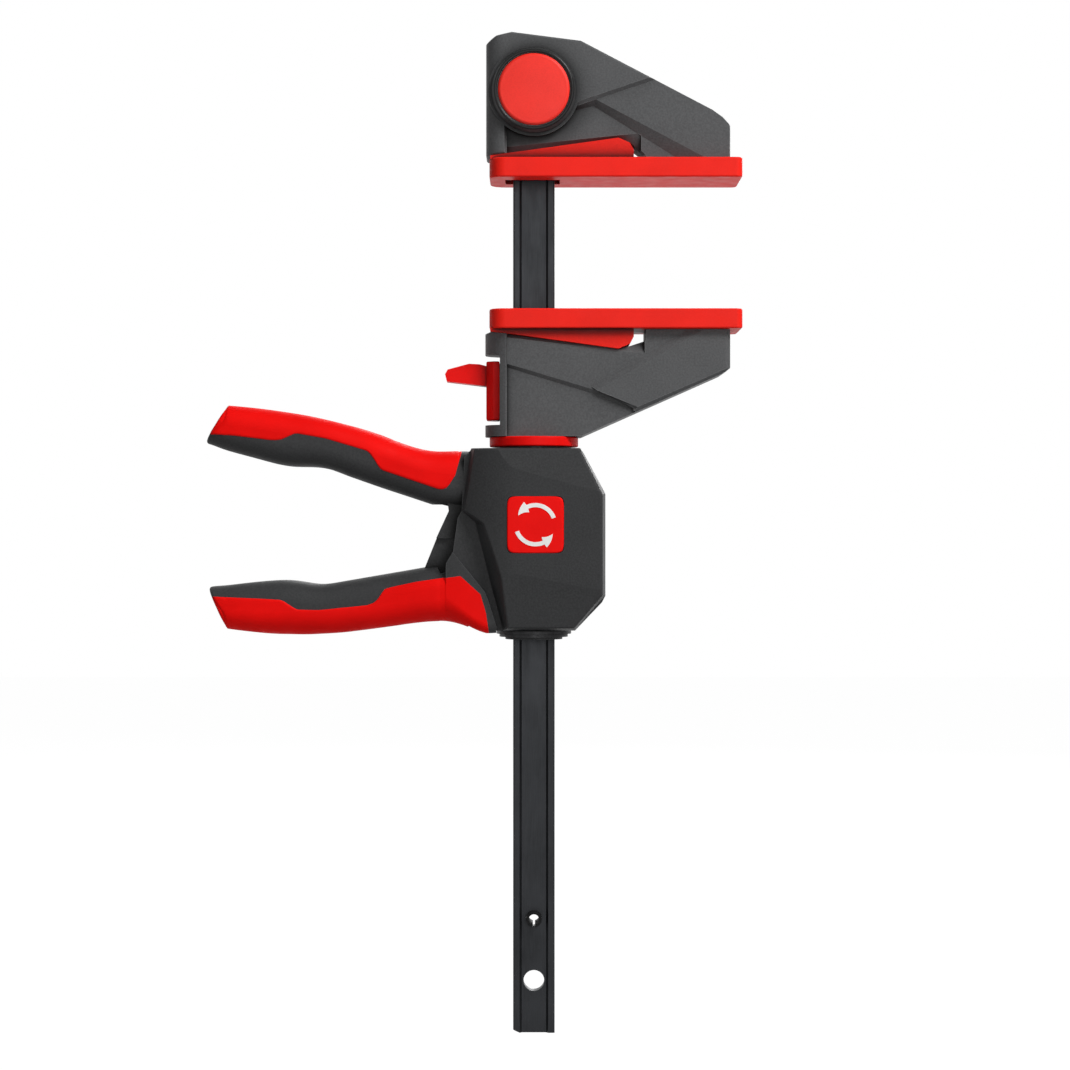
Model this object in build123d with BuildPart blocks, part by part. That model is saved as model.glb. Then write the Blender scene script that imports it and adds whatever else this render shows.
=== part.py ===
"""Quick release bar clamp with a one-hand squeeze handle that turns about the rail.

Millimetres. +Z runs up the rail, +X points along the jaws, -Y is the front.
The origin is on the rail's axis, level with the fixed pad's clamping face.
Side outlines are lists of (x, z) points.
"""

import os
from math import cos, hypot, radians, sin, tan

from build123d import *

os.makedirs("parts", exist_ok=True)

# ---------------------------------------------------------------- clearances
RUNNING = 0.05  # radial clearance of a pin in its hole
SLIDING = 0.15  # a sliding fit, each side
SEAT = 0.2  # a loose seat between plain faces
SWEEP_GAP = 0.3  # between faces that pass each other
FACE_GAP = 0.1  # between pieces stacked face to face
SNUG = 0.02  # radial clearance of a pin that is pressed home
CUT_LAP = 0.01  # lap of one cut into the next
CUT_PAST = 1.0  # how far a cut runs out past the body

# ---------------------------------------------------------------- rail
RAIL_W = 16.0
RAIL_T = 7.5
RAIL_TOP = 49.8
RAIL_BOTTOM = -328.0
RAIL_EDGE_R = 0.7
GROOVE_W = 9.3
GROOVE_DEPTH = 1.2
GROOVE_FLANK = 0.9
HANG_HOLE_R = 4.0
HANG_HOLE_INSET = 20.0
CORNER_CUT_W = 2.6
CORNER_CUT_H = 1.2
STOP_PIN_R = 3.0
STOP_PIN_BORE_R = 2.0
STOP_PIN_LENGTH = 13.0
STOP_PIN_SLOT = 0.8
STOP_PIN_Z = -284.0
RAIL_SLOT_W = RAIL_W + 2 * SLIDING
RAIL_SLOT_T = RAIL_T + 2 * SLIDING

# ---------------------------------------------------------------- pads
PAD_LEFT = -17.0
PAD_RIGHT = 79.5
PAD_W = 34.0
PAD_H = 7.6
PAD_HEEL_R = 6.0
PAD_TOE_R = 2.5
PAD_EDGE_R = 0.7
PAD_WINDOW_LEFT = -11.0
PAD_WINDOW_RIGHT = 10.0
PAD_WINDOW_W = 13.0
WEDGE_W = 28.4
WEDGE = [(-16.6, 8.4), (32.3, 15.2), (36.6, 13.3), (38.1, 10.6), (38.1, 7.0), (-16.6, 7.0)]
PAD_KEY_LEFT = 50.0
PAD_KEY_RIGHT = 70.0
PAD_KEY_T = 5.0
PAD_KEY_H = 5.0
OPENING = 50.0  # between the two clamping faces at rest

# ---------------------------------------------------------------- jaws
JAW_HALF_T = 14.0
JAW_NOSE_LEFT = 43.4
JAW_TIP = 75.0
JAW_HEEL = -18.3
JAW_HEEL_R = 6.8
JAW_EDGE = 0.8
JAW_TIP_R = 2.0
PANEL_STEP = 0.9
FIXED_CROWN = [(-18.3, 51.5), (-14.2, 54.4), (-8.4, 55.7), (18.0, 52.3), (68.2, 26.0), (72.1, 23.2),
               (75.0, 20.0)]
NOSE_RELIEF = [(37.0, 14.0), (42.0, 9.8)]
FIXED_HEEL_DROP = 0.2
SLIDING_KEEL = [(75.0, -72.5), (72.0, -74.6), (18.2, -98.5)]
SLIDING_NOSE_LEFT = 42.8
SLIDING_NOSE_STEP = 4.4
SLIDING_HEEL_DROP = 0.6
SLIDING_HEEL_R = 11.0
# Panel steps and bevels: the outline where the cut starts, then the outline at its depth.
FIXED_STEP_RIM = [(-11.3, 24.0), (16.2, 28.9), (23.8, 31.4), (45.1, 38.6), (95.0, 55.4), (95.0, -5.0),
                  (-11.3, -5.0)]
FIXED_STEP_FLOOR = [(-10.4, 22.6), (16.6, 27.5), (23.8, 29.9), (45.1, 37.0), (95.0, 53.8), (95.0, -5.0),
                    (-10.4, -5.0)]
FIXED_LOW_RIM = [(-11.3, 24.0), (16.2, 27.6), (23.7, 30.0), (67.0, 7.0), (67.0, -5.0), (-11.3, -5.0)]
FIXED_LOW_FLOOR = [(-10.4, 22.6), (16.6, 26.2), (22.8, 27.6), (56.0, 7.0), (56.0, -5.0), (-10.4, -5.0)]
SLIDING_STEP_RIM = [(64.8, -58.0), (24.2, -81.2), (40.0, -87.6), (38.0, -110.0), (-11.2, -110.0),
                    (-11.2, -50.0), (64.8, -50.0)]
SLIDING_STEP_FLOOR = [(58.6, -58.0), (21.8, -79.6), (38.0, -87.9), (38.0, -110.0), (-10.3, -110.0),
                      (-10.3, -50.0), (58.6, -50.0)]
SLIDING_LOW_RIM = [(-11.2, -70.6), (-1.9, -73.3), (21.4, -80.3), (38.7, -86.6), (38.7, -110.0),
                   (-11.2, -110.0)]
SLIDING_LOW_FLOOR = [(-10.3, -72.2), (-1.9, -74.9), (21.0, -81.9), (38.7, -88.4), (38.7, -110.0),
                     (-10.3, -110.0)]
FIXED_BEVEL_RIM = [(-11.3, 12.0), (32.3, 16.5), (41.0, 17.3), (41.0, 0.0), (-11.3, 0.0)]
FIXED_BEVEL_END = [(-11.3, 9.0), (32.3, 15.2), (41.0, 11.0), (41.0, 0.0), (-11.3, 0.0)]
SLIDING_BEVEL_RIM = [(-11.2, -60.9), (42.3, -67.0), (42.3, -50.0), (-11.2, -50.0)]
SLIDING_BEVEL_END = [(-11.2, -59.2), (42.3, -63.0), (42.3, -50.0), (-11.2, -50.0)]
KEEL_BEVEL_RIM = [(78.0, -70.8), (72.0, -73.4), (17.0, -97.2), (17.0, -110.0), (78.0, -110.0)]
KEEL_BEVEL_END = [(78.0, -73.0), (72.0, -75.6), (17.0, -99.4), (17.0, -110.0), (78.0, -110.0)]
BEVEL_DEPTH = 2.2

# ---------------------------------------------------------------- jaw lock
LOCK_Z = 33.3
LOCK_HOLE_R = 4.0
LOCK_TRAVEL = 5.0
LEG_T = 2.4
LEG_H = 8.0
LEG_GAP = 1.1  # between the rail's edge and a leg
BRIDGE_W = RAIL_W + 2 * (LEG_GAP + LEG_T)
BUTTON_RIM = 2.1  # from a leg's outer face to the button's edge
BUTTON_R = BRIDGE_W / 2 + BUTTON_RIM
BUTTON_T = 3.0
BUTTON_FRONT = 17.6
BUTTON_DOME = 0.6
BUTTON_DOME_TAPER = 60.0
BEZEL_RIM = 1.6
BEZEL_R = BUTTON_R + BEZEL_RIM
BOSS_FLARE = 2.2
BOSS_R = BEZEL_R + BOSS_FLARE
BOSS_FRONT = 17.0
POCKET_FLOOR = 5.6
BRIDGE_H = 9.0
BRIDGE_T = 3.0
BRIDGE_GAP = 0.5
BRIDGE_CORNER_R = 1.5
BRIDGE_ROOM = 1.2  # around the bridge's ends
BRIDGE_POCKET_R = BRIDGE_W / 2 + BRIDGE_ROOM
YOKE_SCREW_R = 0.9
YOKE_SCREW_HEAD_R = 1.7
YOKE_SCREW_LENGTH = 7.0
COVER_LAND = 0.8  # ledge that the lock's cover rests on
COVER_R = BRIDGE_POCKET_R + COVER_LAND
COVER_T = 1.6
BOSS_BACK = 15.0
LOCK_SPRING_R = 5.2
LOCK_WIRE_R = 0.45
LOCK_COILS = 4

# ---------------------------------------------------------------- core sleeve
CORE_R = 11.0
CORE_HEAD_TOP = -94.0
JAW_BOTTOM = -98.5
CORE_BOTTOM = -176.4
CAGE_TOP = -144.0
CAGE_BOTTOM = -166.0
CAGE_BAR_IN = 8.3
CAGE_BAR_OUT = 10.8
CAGE_BAR_W = 7.0
COLLAR_R = 17.1
COLLAR_BOTTOM = -102.4
COLLAR_EDGE_R = 0.6
WASHER_R = 14.4
WASHER_T = 0.5
HEAD_PIN_R = 1.25
HEAD_PIN_X = 13.6
PIN_FRONT = 11.4  # front end of the sliding jaw's pins; their holes are open behind
END_WASHER_TOP = -173.1
END_WASHER_T = 1.2
RETAINER_R = 13.3
RETAINER_T = 1.0
RETAINER_GROOVE = 1.0
RETAINER_SPLIT = 5.0

# ---------------------------------------------------------------- brake
BRAKE_LEFT = -11.4
BRAKE_RIGHT = 16.5
BRAKE_ROOF = -74.0
BRAKE_TILT = 4.3
BRAKE_HINGE_X = 14.5
BRAKE_HINGE_Z = -81.0
PLATE_T = 2.2
PLATE_GAP = 0.15
PLATE_HOLE_CLEAR = 0.2
PLATE_CORNER_R = 2.0
BRAKE_SIDE_GAP = 0.5
BRAKE_WIRE_R = 0.4
BRAKE_SPRING_GAP = 0.26  # between the rail's corners and the wire
BRAKE_SPRING_R = hypot(RAIL_W / 2, RAIL_T / 2) + BRAKE_SPRING_GAP + BRAKE_WIRE_R
BRAKE_COILS = 3.5
BRAKE_SPRING_ROOM = 0.5  # between the wire and the chamber's wall
BRAKE_HALF_T = BRAKE_SPRING_R + BRAKE_WIRE_R + BRAKE_SPRING_ROOM
FULCRUM_R = 1.5

# ---------------------------------------------------------------- release slide
SLIDE_LEFT = -18.3
SLIDE_RIGHT = -13.2
SLIDE_TOP = -69.6
SLIDE_BOTTOM = -92.2
SLIDE_W = 15.0
SLIDE_TRAVEL = 1.8
SLIDE_CHAMFER = 2.6
SLIDE_EDGE_R = 0.6
TAB_W = 9.0
TAB = [(-17.0, -71.6), (-21.0, -70.6), (-25.0, -70.4), (-33.2, -72.6), (-34.2, -74.4), (-33.5, -77.2),
       (-17.0, -79.2)]
GUARD_LEFT = -18.7
GUARD_BOTTOM = -67.0
FOOT_RIGHT = -9.2
FOOT_W = 9.0
FOOT_H = 3.4
FOOT_LAP = 1.0
COLUMN_LEFT = -13.0

# ---------------------------------------------------------------- handle and housing
HOUSING_TOP = -103.3
HOUSING_BOTTOM = -172.8
FRAME_HALF_T = 13.0
FLANK_IN = 8.6
HOUSING_RIGHT = [(26.0, -162.0), (27.3, -159.5), (27.3, -120.5), (18.6, -104.4), (16.7, -103.3)]
FLANK_LEFT = [(-23.6, -103.3), (-26.5, -106.5), (-27.6, -127.1), (-29.1, -129.8), (-30.9, -142.8),
              (-25.6, -160.0), (-23.6, -166.0), (-22.9, -171.0), (-21.3, -172.8), (15.7, -172.8)]
COVER_RIM = [(-24.0, -103.3), (-27.6, -127.1), (-22.4, -131.5), (-17.2, -152.1), (-11.7, -172.8),
             (15.7, -172.8), (27.3, -159.5), (27.3, -120.5), (17.9, -103.3)]
COVER_FACE = [(-21.4, -103.3), (-23.6, -126.6), (-17.6, -132.6), (-12.3, -151.4), (-9.2, -171.4),
              (15.1, -171.4), (26.0, -159.0), (26.0, -121.0), (17.1, -103.3)]
COVER_CURVE_X = -6.0
COVER_CURVE_R = 33.5
COVER_CURVE_DEG = 60.0
UPPER_CREASE = [(-23.1, -107.1), (25.6, -120.1)]
UPPER_FACET_DEG = 9.0
LOWER_CREASE = [(-12.2, -149.9), (27.3, -157.7)]
LOWER_FACET_DEG = 7.0
CHAMBER_R = 19.2
CHAMBER_TOP = -111.0
CHAMBER_BOTTOM = -164.0
CHAMBER_DEPTH = CHAMBER_R + SWEEP_GAP
COVER_WALL = 3.0
COVER_EDGE_R = 1.0
FACE_OUTWARD = 0.8  # least share of a face's normal that points out of the cover
COVER_HALF_T = CHAMBER_DEPTH + COVER_WALL
SPRING_WELL_R = 15.0
FORK_ROOM_X = 1.5
FORK_ROOM_W = 21.0
FORK_ROOM_BOTTOM = -160.0
SPRING_WELL_BOTTOM = -168.5
FIN_SLOT = [(-50.0, -124.5), (-12.0, -124.5), (-12.0, -177.8), (-50.0, -177.8)]
HANDLE_TOP = [(-127.0, -86.2), (-117.3, -86.9), (-108.3, -87.7), (-98.0, -89.0), (-87.7, -90.6),
              (-77.3, -92.9), (-66.9, -95.6), (-60.0, -97.7), (-53.1, -100.5), (-46.2, -102.9),
              (-40.7, -104.3), (-35.9, -104.6), (-24.5, -104.2)]
HANDLE_UNDER = [(-127.0, -100.9), (-115.3, -104.6), (-98.0, -109.2), (-95.2, -109.8), (-82.1, -110.1),
                (-79.3, -110.8), (-60.0, -117.7), (-33.1, -126.6), (-24.5, -128.2)]
HANDLE_HALF_T = [(-127.0, 11.6), (-113.0, 12.6), (-98.0, 13.0), (-24.5, 13.0)]
HANDLE_SECTIONS = 16
HANDLE_TIP = [(-117.6, -87.2), (-125.3, -99.6)]
HANDLE_GRIP_EDGE = [(-135.0, -96.6), (-113.8, -98.2), (-100.2, -99.9), (-96.8, -99.8), (-91.0, -97.2),
                    (-79.7, -99.2), (-63.4, -104.0), (-61.4, -106.4), (-58.6, -111.1), (-36.1, -118.7),
                    (-33.4, -118.4), (-30.0, -113.5), (-27.8, -105.0), (-27.2, -95.0), (-30.0, -80.0),
                    (-135.0, -80.0)]
HANDLE_TANG = [(-112.0, -91.0), (-90.0, -94.0), (-66.0, -98.6), (-42.0, -107.0), (-30.5, -107.6),
               (-30.5, -122.0), (-60.0, -114.0), (-80.0, -106.0), (-112.0, -101.0)]
TIP_EDGE_R = 1.0
GRIP_ROUNDING = 0.42  # corner radius of a grip's section as a share of its height
TANG_COVER = 4.0  # thickness of the soft skin at the sides of the tang
WEB_OUT = 10.0
UPPER_WEB = [(-26.5, -122.0), (-33.0, -124.0), (-32.6, -127.1), (-37.4, -137.5), (-29.0, -137.5)]

# ---------------------------------------------------------------- lever
PIVOT_X = -19.5
PIVOT_Z = -168.5
PIVOT_R = 2.5
PIVOT_HALF_LENGTH = 14.6
CHEEK_OUT = 16.5
LEVER_TOP = [(-127.0, -156.6), (-106.1, -154.3), (-98.5, -153.7), (-93.1, -153.8), (-83.2, -155.2),
             (-79.4, -155.2), (-67.9, -153.2), (-42.3, -148.8), (-33.5, -147.2)]
LEVER_UNDER = [(-127.0, -170.8), (-117.6, -171.9), (-110.0, -173.0), (-98.5, -174.0), (-87.0, -174.1),
               (-75.5, -173.6), (-64.1, -172.3), (-52.6, -170.7), (-42.7, -169.4), (-33.5, -169.4)]
LEVER_HALF_T = [(-127.0, 11.6), (-112.0, 12.8), (-97.0, 13.0), (-70.0, 13.0), (-55.0, 13.3), (-42.0, 15.0),
                (-33.5, 15.8)]
LEVER_SECTIONS = 15
LEVER_TIP = [(-124.6, -157.2), (-117.6, -172.4)]
LEVER_ROOT = [(-33.5, -147.2), (-30.9, -142.8), (-18.6, -158.1), (-17.0, -162.3), (-14.3, -171.0),
              (-14.3, -173.6), (-18.2, -173.8), (-22.1, -172.6), (-27.4, -170.7), (-33.5, -169.4)]
ROOT_STATIONS = [(-42.0, -169.4, 15.0, 8.8), (-33.5, -169.4, 15.8, 9.3), (-27.4, -170.7, 16.3, 6.6),
                 (-22.1, -172.6, CHEEK_OUT, 4.6), (-13.0, -174.2, CHEEK_OUT, 4.2)]
ROOT_ROOF = -120.0
ROOT_SKIN = 1.0  # thickness of the soft skin over the cheeks
LEVER_FIN_HALF_T = 8.1
HUB_HALF_T = 3.0
HUB_POCKET_R = 5.7
LEVER_SPRING_R = 3.8
LEVER_WIRE_R = 0.5
LEVER_COILS = 3.5
LEVER_FIN = [(-42.3, -150.0), (-37.4, -137.8), (-32.8, -127.8), (-26.5, -127.2), (-23.4, -129.4),
             (-23.4, -150.0), (-20.4, -158.0), (-17.8, -164.5), (-15.8, -169.0), (-19.5, -172.0),
             (-24.0, -170.4), (-42.0, -166.8)]
LEVER_SLOT = [(-38.6, -140.0), (-38.2, -146.8), (-28.6, -162.5), (-25.2, -168.5), (-25.2, -180.0),
              (-8.0, -180.0), (-8.0, -140.0)]
LEVER_GRIP_EDGE = [(-135.0, -159.6), (-107.1, -160.7), (-96.3, -161.3), (-90.6, -165.0), (-82.2, -165.2),
                   (-63.3, -163.3), (-60.2, -161.9), (-57.0, -157.0), (-44.4, -154.2), (-28.0, -151.9),
                   (-20.3, -158.9), (-18.2, -166.1), (-16.2, -180.0), (-135.0, -180.0)]
LEVER_TANG = [(-112.0, -158.0), (-60.0, -158.0), (-42.0, -152.0), (-42.0, -166.4), (-60.0, -168.0),
              (-90.0, -170.6), (-112.0, -169.6)]
CHEEK_CORE_SIDE = [(-42.0, -154.0), (-33.5, -153.4), (-33.4, -148.6), (-30.6, -147.0), (-19.0, -158.6),
                   (-15.6, -170.6), (-19.5, -172.0), (-24.0, -170.4), (-33.5, -167.6), (-42.0, -167.0)]

# ---------------------------------------------------------------- drive
FORK_TOP = -142.7
FORK_T = 3.0
FORK_WALL_GAP = 0.4
FORK_R = CHAMBER_R - FORK_WALL_GAP
FORK_NOSE_R = 1.4
FORK_NOSE_INSET = 1.0
FORK_SIDE_GAP = 1.9
FORK_OUT = CHAMBER_R - FORK_SIDE_GAP
FORK_IN = 13.6
FORK_TAIL_LEFT = -31.0
FORK_TAIL_W = 13.0
FORK_POCKET_RIGHT = -10.0
FORK_SLOT_R = 11.8
FORK_WEB = 0.8
FORK_SLOT_X = FORK_SLOT_R + FORK_WEB - FORK_R
NOSE_DROP = 0.5
RIVET_R = 1.5
RIVET_REACH = 3.0
RIVET_X = (-25.0, -29.0)
RING_IN = 11.6
RING_WALL_GAP = 2.0
RING_OUT = CHAMBER_R - RING_WALL_GAP
RING_T = 3.0
DRIVE_TILT = 3.0
DRIVE_PLATE_W = 29.0
DRIVE_PLATE_D = 15.6
DRIVE_PLATES = 3
DRIVE_SPRING_R = 13.3
DRIVE_WIRE_R = 0.55
DRIVE_COILS = 3
BADGE_W = 21.6
BADGE_T = 1.1
BADGE_SINK = 0.6
BADGE_X = 0.6
BADGE_Z = -132.4
BADGE_R = 2.2
SCREW_R = 1.5
SCREW_HEAD_R = 2.8
SCREW_HEAD_T = 2.0
SCREW_TIP = 16.5
SCREW_ROOM = 0.5
COVER_SCREWS = [(23.2, -126.0, 16.0), (23.2, -154.0, 16.0), (-16.0, -107.2, 14.5)]


# ================================================================ helpers
def side_prism(points, half_thickness):
    """A closed side outline made as thick as asked, half to the front and half to the back."""
    with BuildPart() as prism:
        with BuildSketch(Plane.XZ):
            Polygon(*points, align=None)
        extrude(amount=half_thickness, both=True)
    return prism.part


def side_ruled(outer, outer_y, inner, inner_y):
    """A block whose side walls run straight from one outline to another, both parallel to XZ."""
    with BuildPart() as block:
        with BuildSketch(Plane.XZ.offset(outer_y)):
            Polygon(*outer, align=None)
        with BuildSketch(Plane.XZ.offset(inner_y)):
            Polygon(*inner, align=None)
        loft(ruled=True)
    return block.part


def level_at(line, x):
    """The value of a line of (x, value) points at x."""
    for (x0, value0), (x1, value1) in zip(line, line[1:]):
        if x <= x1:
            break
    return value0 + (value1 - value0) * (x - x0) / (x1 - x0)


def grip_form(top_line, under_line, half_line, sections, tip):
    """A handle's soft form: evenly spaced rounded sections blended, then cut off at a rounded tip."""
    left, right = top_line[0][0], top_line[-1][0]
    with BuildPart() as form:
        for number in range(sections):
            x = left + (right - left) * number / (sections - 1)
            top, bottom = level_at(top_line, x), level_at(under_line, x)
            with BuildSketch(Plane.YZ.offset(x)):
                with Locations((0, (top + bottom) / 2)):
                    RectangleRounded(2 * level_at(half_line, x), top - bottom, GRIP_ROUNDING * (top - bottom))
        loft()
        add(beyond(tip, -1), mode=Mode.SUBTRACT)
        fillet(form.faces().sort_by(Axis.X)[0].edges(), TIP_EDGE_R)
    return form.part


def beyond(line, side):
    """A long prism on one side of a line in the side view; side is -1 for left of it, 1 for right."""
    (x0, z0), (x1, z1) = line
    far = 60.0
    dx, dz = x1 - x0, z1 - z0
    start = (x0 - 2 * dx, z0 - 2 * dz)
    stop = (x1 + 2 * dx, z1 + 2 * dz)
    return side_prism([start, stop, (stop[0] + side * far, stop[1]), (start[0] + side * far, start[1])], far)


def coil(mean_r, wire_r, start, height, turns, direction):
    """A compression spring of round wire."""
    with BuildPart() as spring:
        with BuildLine() as centreline:
            Helix(pitch=height / turns, height=height, radius=mean_r, center=start, direction=direction)
        with BuildSketch(Plane(origin=centreline.line @ 0, z_dir=centreline.line % 0)):
            Circle(wire_r)
        sweep(is_frenet=True)
    return spring.part


def cross_bar(x, z, radius, front, back):
    """A round bar along Y from the front face to the back face."""
    with BuildPart() as bar:
        with BuildSketch(Plane.XZ.offset(-back)):
            with Locations((x, z)):
                Circle(radius)
        extrude(amount=back - front)
    return bar.part


def upright_ring(outer_r, inner_r, bottom, top):
    """A washer or ring about the rail's axis."""
    with BuildPart() as ring:
        with BuildSketch(Plane.XY.offset(bottom)):
            Circle(outer_r)
            Circle(inner_r, mode=Mode.SUBTRACT)
        extrude(amount=top - bottom)
    return ring.part


def upright_disc(radius, bottom, top):
    """A solid disc about the rail's axis."""
    with BuildPart() as disc:
        with BuildSketch(Plane.XY.offset(bottom)):
            Circle(radius)
        extrude(amount=top - bottom)
    return disc.part


def upright_bar(x, radius, bottom, top):
    """A round bar parallel to the rail, in the plane Y = 0."""
    with BuildPart() as bar:
        with BuildSketch(Plane.XY.offset(bottom)):
            with Locations((x, 0)):
                Circle(radius)
        extrude(amount=top - bottom)
    return bar.part


def clamping_pad(face_z, back):
    """The red pad; back is 1 where its back looks up and -1 where it looks down."""
    with BuildPart() as pad:
        with BuildSketch(Plane.XY.offset(face_z)):
            with Locations(((PAD_LEFT + PAD_RIGHT) / 2, 0)):
                Rectangle(PAD_RIGHT - PAD_LEFT, PAD_W)
        extrude(amount=back * PAD_H)
        fillet(pad.edges().filter_by(Axis.Z).group_by(Axis.X)[0], PAD_HEEL_R)
        fillet(pad.edges().filter_by(Axis.Z).group_by(Axis.X)[-1], PAD_TOE_R)
        fillet(pad.faces().filter_by(Axis.Z).edges(), PAD_EDGE_R)
        with BuildSketch(Plane.XZ):
            Polygon(*[(x, face_z + back * z) for x, z in WEDGE], align=None)
        extrude(amount=WEDGE_W / 2, both=True)
        with BuildSketch(Plane.XY.offset(face_z + back * PAD_H / 2)):
            with Locations(((PAD_KEY_LEFT + PAD_KEY_RIGHT) / 2, 0)):
                Rectangle(PAD_KEY_RIGHT - PAD_KEY_LEFT, PAD_KEY_T)
        extrude(amount=back * (PAD_H / 2 + PAD_KEY_H))
        with BuildSketch(Plane.XY.offset(face_z - back * CUT_PAST)):
            with Locations(((PAD_WINDOW_LEFT + PAD_WINDOW_RIGHT) / 2, 0)):
                RectangleRounded(PAD_WINDOW_RIGHT - PAD_WINDOW_LEFT, PAD_WINDOW_W, PAD_EDGE_R)
        extrude(amount=back * 3 * PAD_H, mode=Mode.SUBTRACT)
    return pad.part


def jammed_plate(width, depth, left, centre_z, tilt):
    """A steel plate around the rail, tilted so that its left end stands higher."""
    lean = radians(tilt)
    hole_w = (RAIL_W + PLATE_T * sin(lean)) / cos(lean) + 2 * PLATE_HOLE_CLEAR
    plane = Plane(origin=(0, 0, centre_z), x_dir=(cos(lean), 0, -sin(lean)), z_dir=(sin(lean), 0, cos(lean)))
    with BuildPart() as plate:
        with BuildSketch(plane.offset(-PLATE_T / 2)):
            with Locations((left + width / 2, 0)):
                RectangleRounded(width, depth, PLATE_CORNER_R)
            Rectangle(hole_w, RAIL_T + 2 * PLATE_HOLE_CLEAR, mode=Mode.SUBTRACT)
        extrude(amount=PLATE_T)
    return plate.part


def finish(piece, name):
    """Label a finished piece and write its STEP file."""
    piece.label = name
    export_step(piece, f"parts/{name}.step")


# ================================================================ rail group
with BuildPart() as rail:
    with BuildSketch(Plane.XY.offset(RAIL_BOTTOM)):
        RectangleRounded(RAIL_W, RAIL_T, RAIL_EDGE_R)
        for side in (-1, 1):
            Polygon(
                (-GROOVE_W / 2 - GROOVE_FLANK, side * RAIL_T / 2),
                (-GROOVE_W / 2, side * (RAIL_T / 2 - GROOVE_DEPTH)),
                (GROOVE_W / 2, side * (RAIL_T / 2 - GROOVE_DEPTH)),
                (GROOVE_W / 2 + GROOVE_FLANK, side * RAIL_T / 2),
                align=None,
                mode=Mode.SUBTRACT,
            )
    extrude(amount=RAIL_TOP - RAIL_BOTTOM)
    with BuildSketch(Plane.XZ):
        with Locations((0, RAIL_BOTTOM + HANG_HOLE_INSET)):
            Circle(HANG_HOLE_R)
        with Locations((0, LOCK_Z)):
            Circle(LOCK_HOLE_R)
        with Locations((0, STOP_PIN_Z)):
            Circle(STOP_PIN_R + RUNNING)
        Polygon(
            (-RAIL_W / 2, RAIL_BOTTOM),
            (-RAIL_W / 2 + CORNER_CUT_W, RAIL_BOTTOM),
            (-RAIL_W / 2, RAIL_BOTTOM + CORNER_CUT_H),
            align=None,
        )
    extrude(amount=RAIL_T, both=True, mode=Mode.SUBTRACT)
finish(rail.part, "rail")

with BuildPart() as stop_pin:
    with BuildSketch(Plane.XZ):
        with Locations((0, STOP_PIN_Z)):
            Circle(STOP_PIN_R)
            Circle(STOP_PIN_BORE_R, mode=Mode.SUBTRACT)
        with Locations((0, STOP_PIN_Z - STOP_PIN_R)):
            Rectangle(STOP_PIN_SLOT, STOP_PIN_R, mode=Mode.SUBTRACT)
    extrude(amount=STOP_PIN_LENGTH / 2, both=True)
finish(stop_pin.part, "stop_pin")

fixed_pad = clamping_pad(0.0, 1)
finish(fixed_pad, "fixed_pad")
sliding_pad = clamping_pad(-OPENING, -1)
finish(sliding_pad, "sliding_pad")

# The jaw's underside follows the pad's wedge with a seat gap, then drops to the nose.
wedge_seat = [(x, z + SEAT) for x, z in WEDGE[:2]]
fixed_outline = [
    (JAW_HEEL, wedge_seat[0][1] - FIXED_HEEL_DROP),
    *wedge_seat,
    *NOSE_RELIEF,
    (JAW_NOSE_LEFT, PAD_H + SEAT),
    (JAW_TIP, PAD_H + SEAT),
    *FIXED_CROWN[::-1],
]
panel_mid = JAW_HALF_T - PANEL_STEP
fixed_floor = JAW_HALF_T - 3 * PANEL_STEP
fixed_step = side_ruled(FIXED_STEP_RIM, JAW_HALF_T, FIXED_STEP_FLOOR, panel_mid)
fixed_low = side_ruled(FIXED_LOW_RIM, panel_mid + CUT_LAP, FIXED_LOW_FLOOR, fixed_floor)
fixed_bevel = side_ruled(FIXED_BEVEL_RIM, fixed_floor + CUT_LAP, FIXED_BEVEL_END, fixed_floor - BEVEL_DEPTH)
boss = cross_bar(0.0, LOCK_Z, BOSS_R, -JAW_HALF_T, BOSS_BACK)
with BuildPart() as front_boss:
    with BuildSketch(Plane.XZ.offset(fixed_floor)):
        with Locations((0, LOCK_Z)):
            Circle(BOSS_R)
    with BuildSketch(Plane.XZ.offset(BOSS_FRONT)):
        with Locations((0, LOCK_Z)):
            Circle(BEZEL_R)
    loft()

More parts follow.
